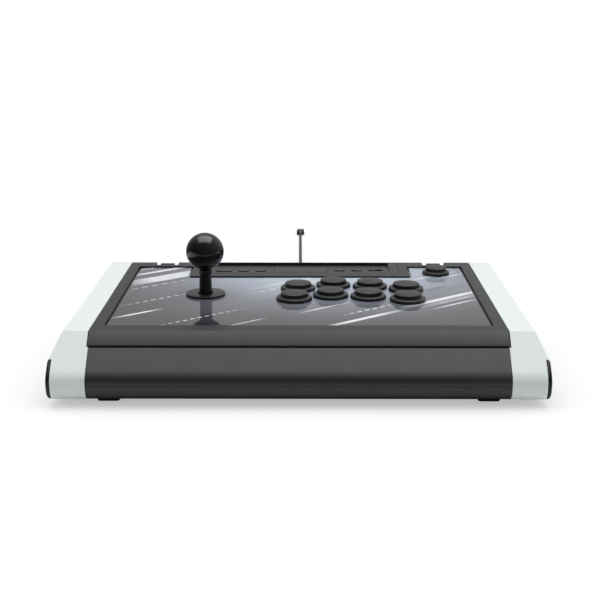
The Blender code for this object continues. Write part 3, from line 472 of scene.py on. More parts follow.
def make_printed_sheet():
    """Clear gloss acrylic over a print: a cool glow behind, fine slanting streaks, grey at the front."""
    tree, shader = new_material("printed_sheet", IOR=1.5)
    place = node(tree, "ShaderNodeTexCoord").outputs["Object"]
    split = node(tree, "ShaderNodeSeparateXYZ", {"Vector": place})
    x, v = split.outputs["X"], split.outputs["Y"]
    cos, sin = math.cos(STREAK_ANGLE), math.sin(STREAK_ANGLE)
    along = maths(tree, "ADD", maths(tree, "MULTIPLY", x, cos), maths(tree, "MULTIPLY", v, sin))
    side = maths(tree, "SUBTRACT", maths(tree, "MULTIPLY", v, cos), maths(tree, "MULTIPLY", x, sin))

    reach_x = maths(tree, "MULTIPLY", maths(tree, "SUBTRACT", x, 0.03), 0.77)
    reach_v = maths(tree, "SUBTRACT", v, 0.205)
    away = maths(tree, "SQRT", maths(tree, "ADD", maths(tree, "MULTIPLY", reach_x, reach_x),
                                     maths(tree, "MULTIPLY", reach_v, reach_v)))
    drift = remap(tree, noise(tree, 11.0, 2.0, place), 0.3, 0.7, -0.04, 0.04)
    glow = maths(tree, "ADD", remap(tree, away, 0.0, 0.2, 1.0, 0.0), drift)
    ramp = node(tree, "ShaderNodeValToRGB", {"Fac": glow})
    stops = [(0.0, (0.026, 0.024, 0.029)), (0.17, (0.058, 0.056, 0.065)), (0.43, (0.155, 0.162, 0.195)),
             (0.62, (0.29, 0.325, 0.40)), (0.80, (0.41, 0.475, 0.55)), (1.0, (0.48, 0.58, 0.65))]
    ramp.color_ramp.elements[0].color = (*stops[0][1], 1.0)
    ramp.color_ramp.elements[1].color = (*stops[-1][1], 1.0)
    for position, colour in stops[1:-1]:
        ramp.color_ramp.elements.new(position).color = (*colour, 1.0)
    colour = ramp.outputs["Color"]

    def bar(centre, half_width, start, end, strength, soft=0.0005):
        """Strength inside a slanting bar, falling to 0 over soft at its sides and in its last third."""
        distance = maths(tree, "ABSOLUTE", maths(tree, "SUBTRACT", side, centre))
        body = remap(tree, distance, half_width + soft, half_width - soft, 0.0, strength)
        fade = (end - start) / 3
        opening = remap(tree, along, start, start + fade, 0.0, 1.0)
        closing = remap(tree, along, end - fade, end, 1.0, 0.0)
        return maths(tree, "MULTIPLY", body, maths(tree, "MULTIPLY", opening, closing))

    for centre, half_width, start, end, strength in SHADES:
        colour = mix(tree, bar(centre, half_width, start, end, strength), colour, (0.03, 0.03, 0.04))
    for centre, half_width, start, end, strength, dash in STREAKS:
        mask = bar(centre, half_width, start, end, strength)
        if dash:
            wave = maths(tree, "FRACT", maths(tree, "DIVIDE", maths(tree, "ADD", along, 1.0), dash))
            mask = maths(tree, "MULTIPLY", mask, maths(tree, "LESS_THAN", wave, 0.6))
        colour = mix(tree, mask, colour, (0.78, 0.80, 0.86))
    tree.links.new(colour, shader.inputs["Base Color"])
    smudge = remap(tree, noise(tree, 30.0, 3.0, place), 0.35, 0.75, 0.025, 0.05)
    tree.links.new(smudge, shader.inputs["Roughness"])


def make_materials():
    moulded("case_plastic", (0.0085, 0.0085, 0.009), 0.45)
    moulded("strip_plastic", (0.0105, 0.0105, 0.011), 0.43)
    moulded("shell_white", (0.705, 0.765, 0.755), 0.42, grain=0.08, variation=0.012)
    moulded("cap_plastic", (0.004, 0.004, 0.0045), 0.38, grain=0.15, **{"Specular IOR Level": 0.25})
    moulded("button_plastic", (0.0095, 0.0095, 0.010), 0.40, grain=0.10)
    moulded("washer_plastic", (0.009, 0.0094, 0.0094), 0.38, grain=0.08)
    moulded("ball_plastic", (0.0035, 0.0035, 0.0038), 0.09, grain=0.015)
    moulded("cover_plastic", (0.005, 0.0052, 0.0052), 0.32, grain=0.05)
    moulded("rubber", (0.016, 0.016, 0.017), 0.72, grain=0.5, grain_scale=900.0)
    moulded("cable_jacket", (0.012, 0.012, 0.0125), 0.50, grain=0.2)
    moulded("black_oxide", (0.010, 0.010, 0.0105), 0.48, grain=0.12)
    moulded("lens_black", (0.002, 0.002, 0.002), 0.25, grain=0.0)
    moulded("tie_plastic", (0.03, 0.03, 0.032), 0.35, grain=0.1)
    make_steel()
    make_board()
    make_printed_sheet()


# ---- lid: frame, printed sheet, control strip ----
def lid_outline(edge=0.0, extra=0.0, radius=0.0):
    """Lid's side outline in (v, h), inset by edge and reaching extra further down."""
    bottom = -LID_SKIRT
    slope_v = (PANEL.inverted() @ Vector((0.0, *on_segment(FRONT_EDGE, SLOPE_END, bottom)))).y
    back_v = (PANEL.inverted() @ Vector((0.0, *on_segment(BACK_EDGE, HEEL, bottom)))).y
    corners = [(0.0, 0.0), (slope_v, bottom), (back_v, bottom), (PANEL_DEPTH, 0.0)]
    if edge:
        corners = inset(corners, edge)
        lean = (corners[1][0] - corners[0][0]) / (corners[1][1] - corners[0][1])
        for i in (1, 2):
            v, h = corners[i]
            corners[i] = (v - lean * extra if i == 1 else v, h - extra)
    return rounded([(v, h, radius) for v, h in corners])


def window_outline(grow, radius):
    """Outline in (x, v) of the printed sheet, grown all round; the tongue bites into its back."""
    half, tongue = art_high.x + grow, TONGUE_HALF_WIDTH + GROOVE - grow
    front, back = art_low.y - grow, art_high.y + grow
    bite = TONGUE_FRONT_V - GROOVE + grow
    corners = [(-half, front), (half, front), (half, back), (tongue, back),
               (tongue, bite), (-tongue, bite), (-tongue, back), (-half, back)]
    return rounded([(x, v, radius) for x, v in corners], 4)


def make_top_frame():
    mesh = prism(lid_outline(radius=0.0009), -LID_HALF_WIDTH, LID_HALF_WIDTH)
    piece = add_piece("lid_frame", mesh, "case_plastic", "lid", PANEL, ["top_frame"])
    hollow_half = LID_HALF_WIDTH - WALL
    hollow = prism(lid_outline(WALL, 0.006), -hollow_half, hollow_half)
    cut(piece, hollow)
    cut(piece, slab(window_outline(GROOVE, 0.0014), -0.0045, 0.005))
    strip = rectangle(strip_low.x - GAP, strip_high.x + GAP, strip_low.y - GAP, strip_high.y + GAP, 0.0008)
    cut(piece, slab(strip, -0.0075, 0.005))
    notches = []
    for word in ("left", "right"):
        leaf_low, leaf_high = node_box("hinge_leaf_" + word, PANEL)
        notch = rectangle(leaf_low.x - 0.0004, leaf_high.x + 0.0004, HINGE_V - 0.0068, PANEL_DEPTH + 0.005)
        notches.append(slab(notch, -0.02, 0.005))
    cut(piece, *notches)
    soften(piece, 0.00016)


def button_holes(extra, low, high):
    """Cutters for every round hole through the panel."""
    stick = node_middle("dust_washer", PANEL)
    holes = [slab(circle(0.012, 48, stick), low, high)]
    for name in button_names:
        place = node_middle(name + "_housing", PANEL)
        radius = (node_box(name + "_plunger", PANEL)[1].x - place.x) + 0.0021
        holes.append(slab(circle(radius + extra, 48, place), low, high))
    return holes


def make_art_panel():
    mesh = slab(window_outline(0.0, 0.0008), art_low.z, art_high.z)
    piece = add_piece("printed_panel", mesh, "printed_sheet", "lid", PANEL, ["art_panel"])
    cut(piece, *button_holes(0.0005, -0.006, 0.004))
    soften(piece, 0.0002)


CONTROL_SHAPES = {
    "pill_button": lambda w, d: rectangle(-w, w, -d, d, d * 0.94),
    "round_button_1": lambda w, d: circle(w, 48),
    "round_button_2": lambda w, d: circle(w, 48),
    "mode_button_1": lambda w, d: circle(w, 48),
    "mode_button_2": lambda w, d: circle(w, 48),
    "touch_pad": lambda w, d: rectangle(-w, w, -d, d, 0.0015),
}
SLIDER_SLOT = (0.014, 0.010)
SLIDER_TRAVEL = 0.004


def make_control_strip():
    """Strip with the sunk wedge-shaped bay and the holes that its controls come up through."""
    outline = rectangle(strip_low.x, strip_high.x, strip_low.y, strip_high.y, 0.0006)
    mesh = slab(outline, strip_low.z, strip_high.z)
    piece = add_piece("control_bay", mesh, "strip_plastic", "lid", PANEL, ["control_strip"])
    to_panel = PANEL.inverted() @ BAY
    wedge = slab(rectangle(-BAY_HALF_WIDTH, BAY_HALF_WIDTH, 0.0, BAY_DEPTH, 0.0006), 0.0, 0.009)
    wedge.transform(to_panel)
    cut(piece, wedge)
    holes = []
    for name, shape in CONTROL_SHAPES.items():
        low, high = node_box(name, BAY)
        middle = (low + high) / 2
        hole = shape((high.x - low.x) / 2 + GAP, (high.y - low.y) / 2 + GAP)
        holes.append(moved(slab(hole, -0.012, 0.003), (middle.x, middle.y, 0.0)))
    knob = node_middle("slide_switch", BAY)
    half_x, half_y = SLIDER_SLOT[0] / 2, SLIDER_SLOT[1] / 2
    slot = slab(rectangle(-half_x, half_x, -half_y, half_y, 0.002), -0.0014, 0.003)
    holes.append(moved(slot, (knob.x + SLIDER_TRAVEL / 2, knob.y, 0.0)))
    for hole in holes:
        hole.transform(to_panel)
    cut(piece, *holes)
    soften(piece, 0.0002)


def make_controls():
    """Bay buttons and pad with crowned tops, and the slide switch with a ribbed thumb."""
    for name, shape in CONTROL_SHAPES.items():
        low, high = node_box(name, BAY)
        middle = (low + high) / 2
        half_x, half_y = (high.x - low.x) / 2, (high.y - low.y) / 2
        edge = min(0.0006, high.z * 0.6)
        steps = 5
        rings = [[(x, y, low.z) for x, y in shape(half_x, half_y)]]
        for step in range(steps + 1):
            angle = math.pi / 2 * step / steps
            inward = edge * (1 - math.cos(angle))
            z = high.z - edge + edge * math.sin(angle)
            rings.append([(x, y, z) for x, y in shape(half_x - inward, half_y - inward)])
        mesh = moved(loft(rings), (middle.x, middle.y, 0.0))
        add_piece(name + "_cap", mesh, "button_plastic", name, BAY, [name], sharp=40)
    low, high = node_box("slide_switch", BAY)
    body = slab(rectangle(low.x, high.x, low.y, high.y, 0.0008), low.z, high.z - 0.0004)
    ribs = []
    count = 5
    for i in range(count):
        x = low.x + (high.x - low.x) * (i + 0.5) / count
        ribs.append(slab(rectangle(x - 0.0003, x + 0.0003, low.y + 0.0006, high.y - 0.0006, 0.0002),
                         high.z - 0.0005, high.z))
    piece = add_piece("slide_switch_knob", joined(body, *ribs), "button_plastic", "slide_switch",
                      BAY, ["slide_switch"])
    soften(piece, 0.0001)


# ---- push buttons ----
button_names = ["button_" + key for key in ("b1", "b2", "b3", "b4", "f1", "f2", "f3", "f4", "side")]


def arc(centre, radius, start, end, steps):
    """Points (a, b) on an arc between two angles in degrees."""
    angles = [math.radians(start + (end - start) * i / steps) for i in range(steps + 1)]
    return [(centre[0] + radius * math.cos(a), centre[1] + radius * math.sin(a)) for a in angles]


def make_button(name):
    """Housing with a sloped, rounded flange round a well, and a domed plunger that fills the well."""
    place = node_middle(name + "_housing", PANEL)
    low, high = node_box(name + "_housing", PANEL)
    rim, top, bottom = (high.x - low.x) / 2, high.z, low.z
    seat = art_high.z + GAP
    plunger_low, plunger_high = node_box(name + "_plunger", PANEL)
    radius = (plunger_high.x - plunger_low.x) / 2
    bore, body = radius + GAP, radius + 0.0021
    lip = 0.0005
    housing = [(bore, top - 0.0004)]
    housing += arc((bore + 0.0004, top - 0.0004), 0.0004, 180, 80, 4)[1:]
    housing += [(rim - 0.0016, top - lip)]
    housing += arc((rim - 0.0016, top - lip - 0.0014), 0.0014, 78, 10, 6)
    housing += arc((rim - 0.0006, seat + 0.0006), 0.0006, 0, -80, 4)
    housing += [(body, seat), (body, bottom), (bore, bottom)]
    outline = Matrix.Translation((place.x, place.y, 0.0))
    ring = turned_ring(housing, 72)
    ring.transform(outline)
    add_piece(name + "_flange", ring, "button_plastic", "lid", PANEL,
              [name + "_housing"], sharp=50)

    crown = plunger_high.z
    shoulder = crown - 0.0014
    inner = radius - 0.0016
    profile = [(0.0015, crown - 0.0036), (inner, crown - 0.004), (inner, plunger_low.z),
               (radius, plunger_low.z), (radius, shoulder - 0.0008)]
    profile += arc((radius - 0.0009, shoulder - 0.0008), 0.0009, 10, 62, 5)
    steps = 9
    edge_r, edge_z = profile[-1]
    for step in range(1, steps + 1):
        share = 1 - step / steps
        r = max(edge_r * share, 0.0004)
        profile.append((r, crown - (crown - edge_z) * (r / edge_r) ** 2))
    dome = turned(profile, 72)
    dome.transform(outline)
    add_piece(name + "_dome", dome, "button_plastic", name, PANEL,
              [name + "_plunger"], sharp=50)


# ---- stick ----
def make_stick():
    ball_low, ball_high = node_box("ball_top", PANEL)
    centre = node_middle("dust_washer", PANEL)
    radius = (ball_high.x - ball_low.x) / 2
    middle_h = ball_high.z - radius
    profile = [(0.0033, ball_low.z + 0.0002), (0.0046, ball_low.z + 0.0002)]
    profile += arc((0.0, 0.0), radius, -73, 88, 56)
    profile = profile[:2] + [(r, middle_h + h) for r, h in profile[2:]]
    ball = moved(turned(profile, 96), (centre.x, centre.y, 0.0))
    add_piece("ball_knob", ball, "ball_plastic", "stick", PANEL, ["ball_top"], sharp=50)

    cover_low, cover_high = node_box("shaft_cover", PANEL)
    thick = (cover_high.x - cover_low.x) / 2
    bore = 0.0033
    cover = [(bore, cover_low.z), (thick, cover_low.z), (thick - 0.0001, -0.0105),
             (thick - 0.0001, 0.004), (thick - 0.00035, cover_high.z - 0.0048)]
    cover += arc((thick - 0.0006, cover_high.z - 0.0040), 0.0006, -30, 0, 3)
    cover += arc((thick - 0.0006, cover_high.z - 0.0006), 0.0006, 0, 90, 4)
    cover += [(bore, cover_high.z)]
    mesh = moved(turned_ring(cover, 56), (centre.x, centre.y, 0.0))
    add_piece("cover_tube", mesh, "cover_plastic", "stick", PANEL, ["shaft_cover"], sharp=50)

    low, high = node_box("dust_washer", PANEL)
    washer_radius, edge = (high.x - low.x) / 2, 0.0006
    rim = arc((washer_radius - edge, low.z + edge), edge, -90, 0, 4)
    rim += arc((washer_radius - edge, high.z - edge), edge, 0, 90, 4)
    disc = moved(turned(rim, 96), (centre.x, centre.y, 0.0))
    piece = add_piece("washer_disc", disc, "washer_plastic", "washer", PANEL,
                      ["dust_washer"])
    hole_half, hole_reach = thick + 0.0009, thick + 0.0026
    hole = rectangle(centre.x - hole_half, centre.x + hole_half, centre.y - hole_reach,
                     centre.y + hole_reach, hole_half - 0.00005)
    cut(piece, slab(hole, low.z - 0.003, high.z + 0.003))
    soften(piece, 0.0002)


# ---- base: case, wings, caps, feet ----
def make_case():
    top = -LID_SKIRT - SEAM
    outline = parting_line(body_outline([top]))
    half = case_high.x
    mesh = prism(outline, -half, half)
    piece = add_piece("case_shell", mesh, "case_plastic", "base", WORLD, ["lower_case"])
    inner = inset(body_outline([top + 4 * WALL]), WALL)
    cut(piece, prism(inner, WALL - half, half - WALL))
    sweep = moved(turned([(SWEEP, -0.18), (SWEEP, 0.18)], 48), hinge, TO_X)
    cut(piece, sweep)
    relief = node_middle("strain_relief")
    gland = moved(turned([(0.0051, 0.12), (0.0051, 0.16)], 32), (relief.x, 0.0, relief.z), TO_Y)
    cut(piece, gland)
    soften(piece, 0.00016)


def make_wings():
    """Side wings: slanted upper side, crease, upright lower side, and a step that closes up to the case."""
    outline = body_outline([0.0, -CREASE_DEPTH, -CREASE_DEPTH - LEDGE_DEPTH])
    last = len(outline) - 1
    side_x = {0: WING_TOP_X, 1: wing_high.x}
    corners = rectangle(-0.03, PANEL_DEPTH + 0.03, -LID_SKIRT - SEAM, 0.02)
    beside_lid = [tuple((PANEL @ Vector((0.0, v, h))).yz) for v, h in corners]
    for word, side in (("left", -1), ("right", 1)):
        mesh = bmesh.new()
        near = [mesh.verts.new((side * wing_low.x, y, z)) for y, z in outline]
        far = []
        for i, (y, z) in enumerate(outline):
            x = side_x.get(min(i, last - i), WING_SIDE_X)
            far.append(mesh.verts.new((side * x, y, z)))
        mesh.faces.new(near)
        for i in range(len(outline)):
            j = (i + 1) % len(outline)
            mesh.faces.new((near[i], near[j], far[j], far[i]))
        for rank in (0, 1):
            mesh.faces.new((far[rank], far[rank + 1], far[last - rank - 1], far[last - rank]))
        mesh.faces.new(far[2:last - 1])
        bmesh.ops.recalc_face_normals(mesh, faces=mesh.faces)
        name = "wing_" + word
        piece = add_piece(name + "_shell", mesh, "shell_white", "base", WORLD, [name])
        x0, x1 = side * (wing_low.x - 0.001), side * WING_INNER_X
        cut(piece, prism(beside_lid, x0, x1))
        cut(piece, moved(turned([(SWEEP, x0), (SWEEP, x1)], 48), hinge, TO_X))
        soften(piece, 0.0004, 3, 18.0)


def make_side_caps():
    """Black shields on the wings' sides, their faces rolled over towards the edges."""
    outline = body_outline([-CREASE_DEPTH - LEDGE_DEPTH - GAP])
    depth = cap_high.x - cap_low.x
    roll = 0.0024
    steps = 9
    for word, side in (("left", -1), ("right", 1)):
        levels = [(cap_low.x, 0.00005), (cap_low.x + 0.3 * depth, 0.00005)]
        for step in range(1, steps + 1):
            angle = math.pi / 2 * step / steps
            levels.append((cap_low.x + depth * (0.3 + 0.7 * math.sin(angle)),
                           0.00005 + roll * (1 - math.cos(angle))))
        rings = [[(side * x, y, z) for y, z in inset(outline, edge)] for x, edge in levels]
        name = "side_cap_" + word
        add_piece(name + "_cover", loft(rings), "cap_plastic", "base", WORLD, [name], sharp=50)


def make_feet():
    """Rubber pads with rounded corners, a rolled edge and three anti-slip grooves underneath."""
    corner, edge, groove_half, groove_depth = 0.003, 0.0012, 0.0005, 0.0004
    for name in ("foot_front_left", "foot_front_right", "foot_rear_left", "foot_rear_right"):
        low, high = node_box(name)
        middle, half = (low + high) / 2, (high - low) / 2
        levels = [(0.0, edge)]
        levels += [(edge * (1 - math.cos(a)), edge * (1 - math.sin(a)))
                   for a in (math.radians(angle) for angle in (30, 55, 80))]
        levels += [(edge, 0.0), (high.z, 0.0)]
        rings = []
        for z, inward in levels:
            x_in, y_in = half.x - inward, half.y - inward
            pad = rectangle(-x_in, x_in, -y_in, y_in, corner - inward)
            rings.append([(middle.x + x, middle.y + y, z) for x, y in pad])
        piece = add_piece(name + "_pad", loft(rings), "rubber", "base", WORLD, [name], sharp=50)
        grooves = []
        for shift in (-0.004, 0.0, 0.004):
            y = middle.y + shift
            groove = rectangle(low.x - 0.001, high.x + 0.001, y - groove_half, y + groove_half)
            grooves.append(slab(groove, -0.001, groove_depth))
        cut(piece, *grooves)


# ---- small fittings ----
def make_bay_lamps():
    """Dark lenses of the two lamps behind the mode buttons."""
    radius, proud = 0.0018, 0.0002
    lamp_y = 0.0272
    for index in ("1", "2"):
        button = node_middle("mode_button_" + index, BAY)
        lens = [(radius, -0.0005), (radius, proud - 0.0001), (radius - 0.0003, proud),
                (0.0003, proud + 0.0001)]
        mesh = moved(turned(lens, 32), (button.x, lamp_y, 0.0))
        add_piece("lamp_lens_" + index, mesh, "lens_black", "lid", BAY, sharp=50)


def make_underside_screws():
    """Pan-head screws in the underside, with cross slots."""
    radius, height, slot_half, slot_depth = 0.0031, 0.0013, 0.0004, 0.0009
    z = UNDERSIDE_FRONT[1]
    head = [(radius * 0.5, z + 0.0015), (radius, z), (radius * 0.93, z - height * 0.5),
            (radius * 0.6, z - height * 0.9), (0.0004, z - height)]
    reach = radius * 0.62
    for row, y in (("front", -0.104), ("middle", 0.0), ("back", 0.106)):
        for column, x in (("left", -0.13), ("centre", 0.0), ("right", 0.13)):
            mesh = moved(turned(head, 28), (x, y, 0.0))
            name = "screw_" + row + "_" + column
            piece = add_piece(name, mesh, "steel", "base", WORLD, sharp=40)
            slots = [rectangle(x - reach, x + reach, y - slot_half, y + slot_half),
                     rectangle(x - slot_half, x + slot_half, y - reach, y + reach)]
            for slot in slots:
                cut(piece, slab(slot, z - height - 0.001, z - height + slot_depth))


# ---- cable: strain relief, cord with its stored coil, plug ----
CABLE_RADIUS = 0.002
FLOOR_Z = 0.0021
COIL_CENTRE = (0.031, 0.237)
COIL_RADII = [0.0292, 0.0251, 0.021, 0.0169]
COIL_ROWS = 4
COIL_STEPS = 16                  # points in one turn
ROW_RISE = 0.00402
OUT_ROUTE = [(0.0, 0.1703, 0.028), (0.0, 0.178, 0.0272), (0.0001, 0.188, 0.0215),
             (0.0005, 0.1965, 0.011), (0.0012, 0.206, 0.0036), (0.0018, 0.213, 0.0021),
             (0.002, 0.22, 0.0021)]
BACK_ROUTE = [(0.002, 0.254, 0.0135), (0.002, 0.264, 0.0095), (0.0019, 0.276, 0.0042),
              (0.0017, 0.288, 0.0021), (0.0014, 0.3, 0.0021), (0.0005, 0.35, 0.0021),
              (-0.0004, 0.42, 0.0021), (-0.0013, 0.5, 0.0021), (-0.002, 0.58, 0.0021),
              (-0.0024, 0.65, 0.0021), (-0.0028, 0.72, 0.0021), (-0.0032, 0.79, 0.0021),
              (-0.0035, 0.845, 0.0021), (-0.0036, 0.862, 0.0027), (-0.0036, 0.88, 0.0042)]


def coil_turns():
    """Points of a neat coil, wound inwards and outwards by turns, that starts and ends at its left."""
    points = []
    for row in range(COIL_ROWS):
        radii = COIL_RADII if row % 2 == 0 else COIL_RADII[::-1]
        for column, radius in enumerate(radii):
            last_column = column == len(radii) - 1
            next_radius = radius if last_column else radii[column + 1]
            rise = ROW_RISE if last_column and row < COIL_ROWS - 1 else 0.0
            for step in range(COIL_STEPS):
                share = step / COIL_STEPS
                blend = max(0.0, (share - 0.7) / 0.3)
                blend = blend * blend * (3 - 2 * blend)
                r = radius + (next_radius - radius) * blend
                angle = math.pi - 2 * math.pi * share
                z = FLOOR_Z + ROW_RISE * row + rise * blend
                points.append((COIL_CENTRE[0] + r * math.cos(angle),
                               COIL_CENTRE[1] + r * math.sin(angle), z))
    return points


def make_cable():
    route = OUT_ROUTE + coil_turns() + BACK_ROUTE
    curve = bpy.data.curves.new("cable", "CURVE")
    curve.dimensions = "3D"
    curve.bevel_depth = CABLE_RADIUS
    curve.bevel_resolution = 3
    curve.resolution_u = 5
    curve.use_fill_caps = True
    spline = curve.splines.new("BEZIER")
    spline.bezier_points.add(len(route) - 1)
    for point, place in zip(spline.bezier_points, route):
        point.co = place
        point.handle_left_type = "AUTO"
        point.handle_right_type = "AUTO"
    cable = bpy.data.objects.new("cable", curve)
    bpy.context.scene.collection.objects.link(cable)
    curve.materials.append(materials["cable_jacket"])
    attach(cable, "base")
    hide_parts("cable_run_out", "cable_coil", "cable_run_back")
    return cable


def make_strain_relief():
    """Tapered rubber sleeve with a flange against the back wall and grooves round it."""
    low, high = node_box("strain_relief")
    middle = (low + high) / 2
    neck, flange = 0.0046, (high.x - low.x) / 2
    start = low.y + 0.009
    profile = [(0.0022, low.y), (neck, low.y), (neck, start)]
    profile += [(flange, start), (flange, start + 0.0014), (flange - 0.0005, start + 0.002)]
    length = high.y - start - 0.0032
    ribs, steps = 6, 24
    for step in range(steps + 1):
        share = step / steps
        r = 0.0047 - 0.0017 * share
        wave = 0.5 - 0.5 * math.cos(2 * math.pi * ribs * share)
        profile.append((r - 0.0006 * wave, start + 0.0026 + length * share))
    profile.append((0.0022, high.y))
    mesh = moved(turned(profile, 48), (middle.x, 0.0, middle.z), TO_Y)
    return add_piece("strain_sleeve", mesh, "rubber", "base", WORLD, ["strain_relief"], sharp=50)


def make_plug():
    """Plug: moulded grip with finger ribs, and a folded steel shell round its contact tongue."""
    low, high = node_box("usb_plug")
    middle = (low + high) / 2
    grip_half, grip_height, grip_end = (high.x - low.x) / 2, (high.z - low.z) / 2, low.y + 0.0243
    corner = 0.0018
    levels = [(0.0, 0.0022, 0.0015), (0.002, 0.0030, 0.0021),
              (0.005, 0.0052, 0.0036), (0.0068, 0.0056, 0.0039)]
    for rib in range(5):
        start = 0.0082 + rib * 0.0024
        levels += [(start, grip_half, grip_height), (start + 0.0012, grip_half, grip_height),
                   (start + 0.0016, grip_half - 0.0004, grip_height - 0.0003),
                   (start + 0.0020, grip_half - 0.0004, grip_height - 0.0003)]
    length = grip_end - low.y
    levels += [(length - 0.0006, grip_half - 0.0003, grip_height - 0.0003),
               (length, grip_half - 0.0008, grip_height - 0.0008)]
    rings = []
    for along, half_x, half_z in levels:
        shape = rectangle(-half_x, half_x, -half_z, half_z, min(corner, half_z * 0.7))
        rings.append([(middle.x + x, low.y + along, middle.z + z) for x, z in shape])
    grip = add_piece("plug_grip", loft(rings), "cable_jacket", "base", WORLD,
                     ["usb_plug"], sharp=50)

    half_x, half_z, wall = 0.006, 0.0022, 0.0003
    shell_rings = []
    for along, inward in ((grip_end, 0.0), (high.y, 0.0), (high.y, wall), (grip_end + 0.001, wall)):
        shape = rectangle(-half_x + inward, half_x - inward, -half_z + inward, half_z - inward, 0.0005)
        shell_rings.append([(middle.x + x, along, middle.z + z) for x, z in shape])
    shell = add_piece("plug_shell", loft(shell_rings), "steel", "base", sharp=40)
    windows = []
    for x in (-0.0028, 0.0028):
        centre = middle.x + x
        place = rectangle(centre - 0.0011, centre + 0.0011, grip_end + 0.0045, grip_end + 0.0067)
        windows.append(slab(place, middle.z + half_z - 0.0005, middle.z + half_z + 0.001))
    cut(shell, *windows)
    tongue_shape = rectangle(-half_x + 0.0006, half_x - 0.0006, -0.0018, -0.0003, 0.0002)
    tongue = loft([[(middle.x + x, along, middle.z + z) for x, z in tongue_shape]
                   for along in (grip_end + 0.0012, high.y - 0.0006)])
    core = add_piece("plug_core", tongue, "lens_black", "base")
    return [grip, shell, core]


def make_coil_tie():
    """Flat tie round one side of the stored coil, with its closed ends standing as a small tab."""
    thick, half_width = 0.0006, 0.0035
    inner, outer = COIL_RADII[-1] - CABLE_RADIUS - thick, COIL_RADII[0] + CABLE_RADIUS + thick
    low = 0.0
    high = FLOOR_Z + ROW_RISE * (COIL_ROWS - 1) + CABLE_RADIUS + thick
    loop = rectangle(inner, outer, low, high, 0.0022)
    hole = rectangle(inner + thick, outer - thick, low + thick * 0.15, high - thick, 0.0018)
    rings = []
    for shape, y in ((loop, -half_width), (loop, half_width), (hole, half_width), (hole, -half_width)):
        rings.append([(COIL_CENTRE[0] + x, COIL_CENTRE[1] + y, z) for x, z in shape])
    band = loft(rings, closed=True)
    tab_x = COIL_CENTRE[0] + (inner + outer) / 2
    tab_y = COIL_CENTRE[1]
    tab_outline = rectangle(tab_x - 0.004, tab_x + 0.004, tab_y - 0.003, tab_y + 0.003, 0.001)
    tab = slab(tab_outline, high - 0.0002, high + 0.0009)
    return add_piece("coil_tie", joined(band, tab), "tie_plastic", "base", sharp=40)


# ---- camera, light, floor ----
CAMERA_PLACE = (0.0063, -1.065, 0.2695)
CAMERA_PITCH = math.radians(11.0)
CAMERA_YAW = math.radians(0.313)
CAMERA_LENS = 70.8


def make_camera():
    data = bpy.data.cameras.new("camera")
    data.lens = CAMERA_LENS
    data.sensor_width = 36.0
    data.clip_start = 0.01
    data.clip_end = 50.0
    camera = bpy.data.objects.new("camera", data)
    camera.location = CAMERA_PLACE
    camera.rotation_euler = (math.pi / 2 - CAMERA_PITCH, 0.0, CAMERA_YAW)
    bpy.context.scene.collection.objects.link(camera)
    bpy.context.scene.camera = camera


# light that the studio sends from each direction: a dim horizon in front and at the sides, more behind
# and higher up, and a soft rectangular panel overhead that reaches further back than forward; the right
# side is much brighter than the left
SIDE_GLOW = 0.15
BACK_GLOW = 0.30
HEIGHT_GLOW = 0.42
FRONT_SHARE = 0.12               # share of the height's glow that is left straight in front
RIGHT_GLOW = 0.45                # share by which light from the right exceeds the middle's
PANEL_GLOW = 3.15
PANEL_HALF_WIDTH = 0.6           # the overhead panel, as seen from the object, per metre of its height
PANEL_FRONT = -0.42
PANEL_BACK = 0.55
PANEL_SOFT = 0.14
# what the camera sees of the floor: a lit tone and a glow, which grows where nothing is close above, so
# that a painted contact shadow lies under and round the object
FLOOR_TONE = 0.12
FLOOR_GLOW = 0.45
PAINTED_SHADOW_STRENGTH = 0.46                 # added glow where nothing is within the painted shadow's reach; under and beside the object its lack is a painted contact shadow
PAINTED_SHADOW_REACH = 0.10
PAINTED_POOL_TONE = 0.85               # tone of a painted pool of light that the object sees right below it, and further away
TONE_BEYOND_PAINTED_POOL = 0.12
PAINTED_POOL_INNER = 0.17               # distances from the middle of the case between which the painted pool of light falls off
PAINTED_POOL_OUTER = 0.45


def shown_to_camera(tree, seen, otherwise):
    """Shader output that the camera sees as one shader and every other ray meets as another."""
    ray = node(tree, "ShaderNodeLightPath").outputs["Is Camera Ray"]
    return node(tree, "ShaderNodeMixShader", {0: ray, 1: otherwise, 2: seen}).outputs[0]


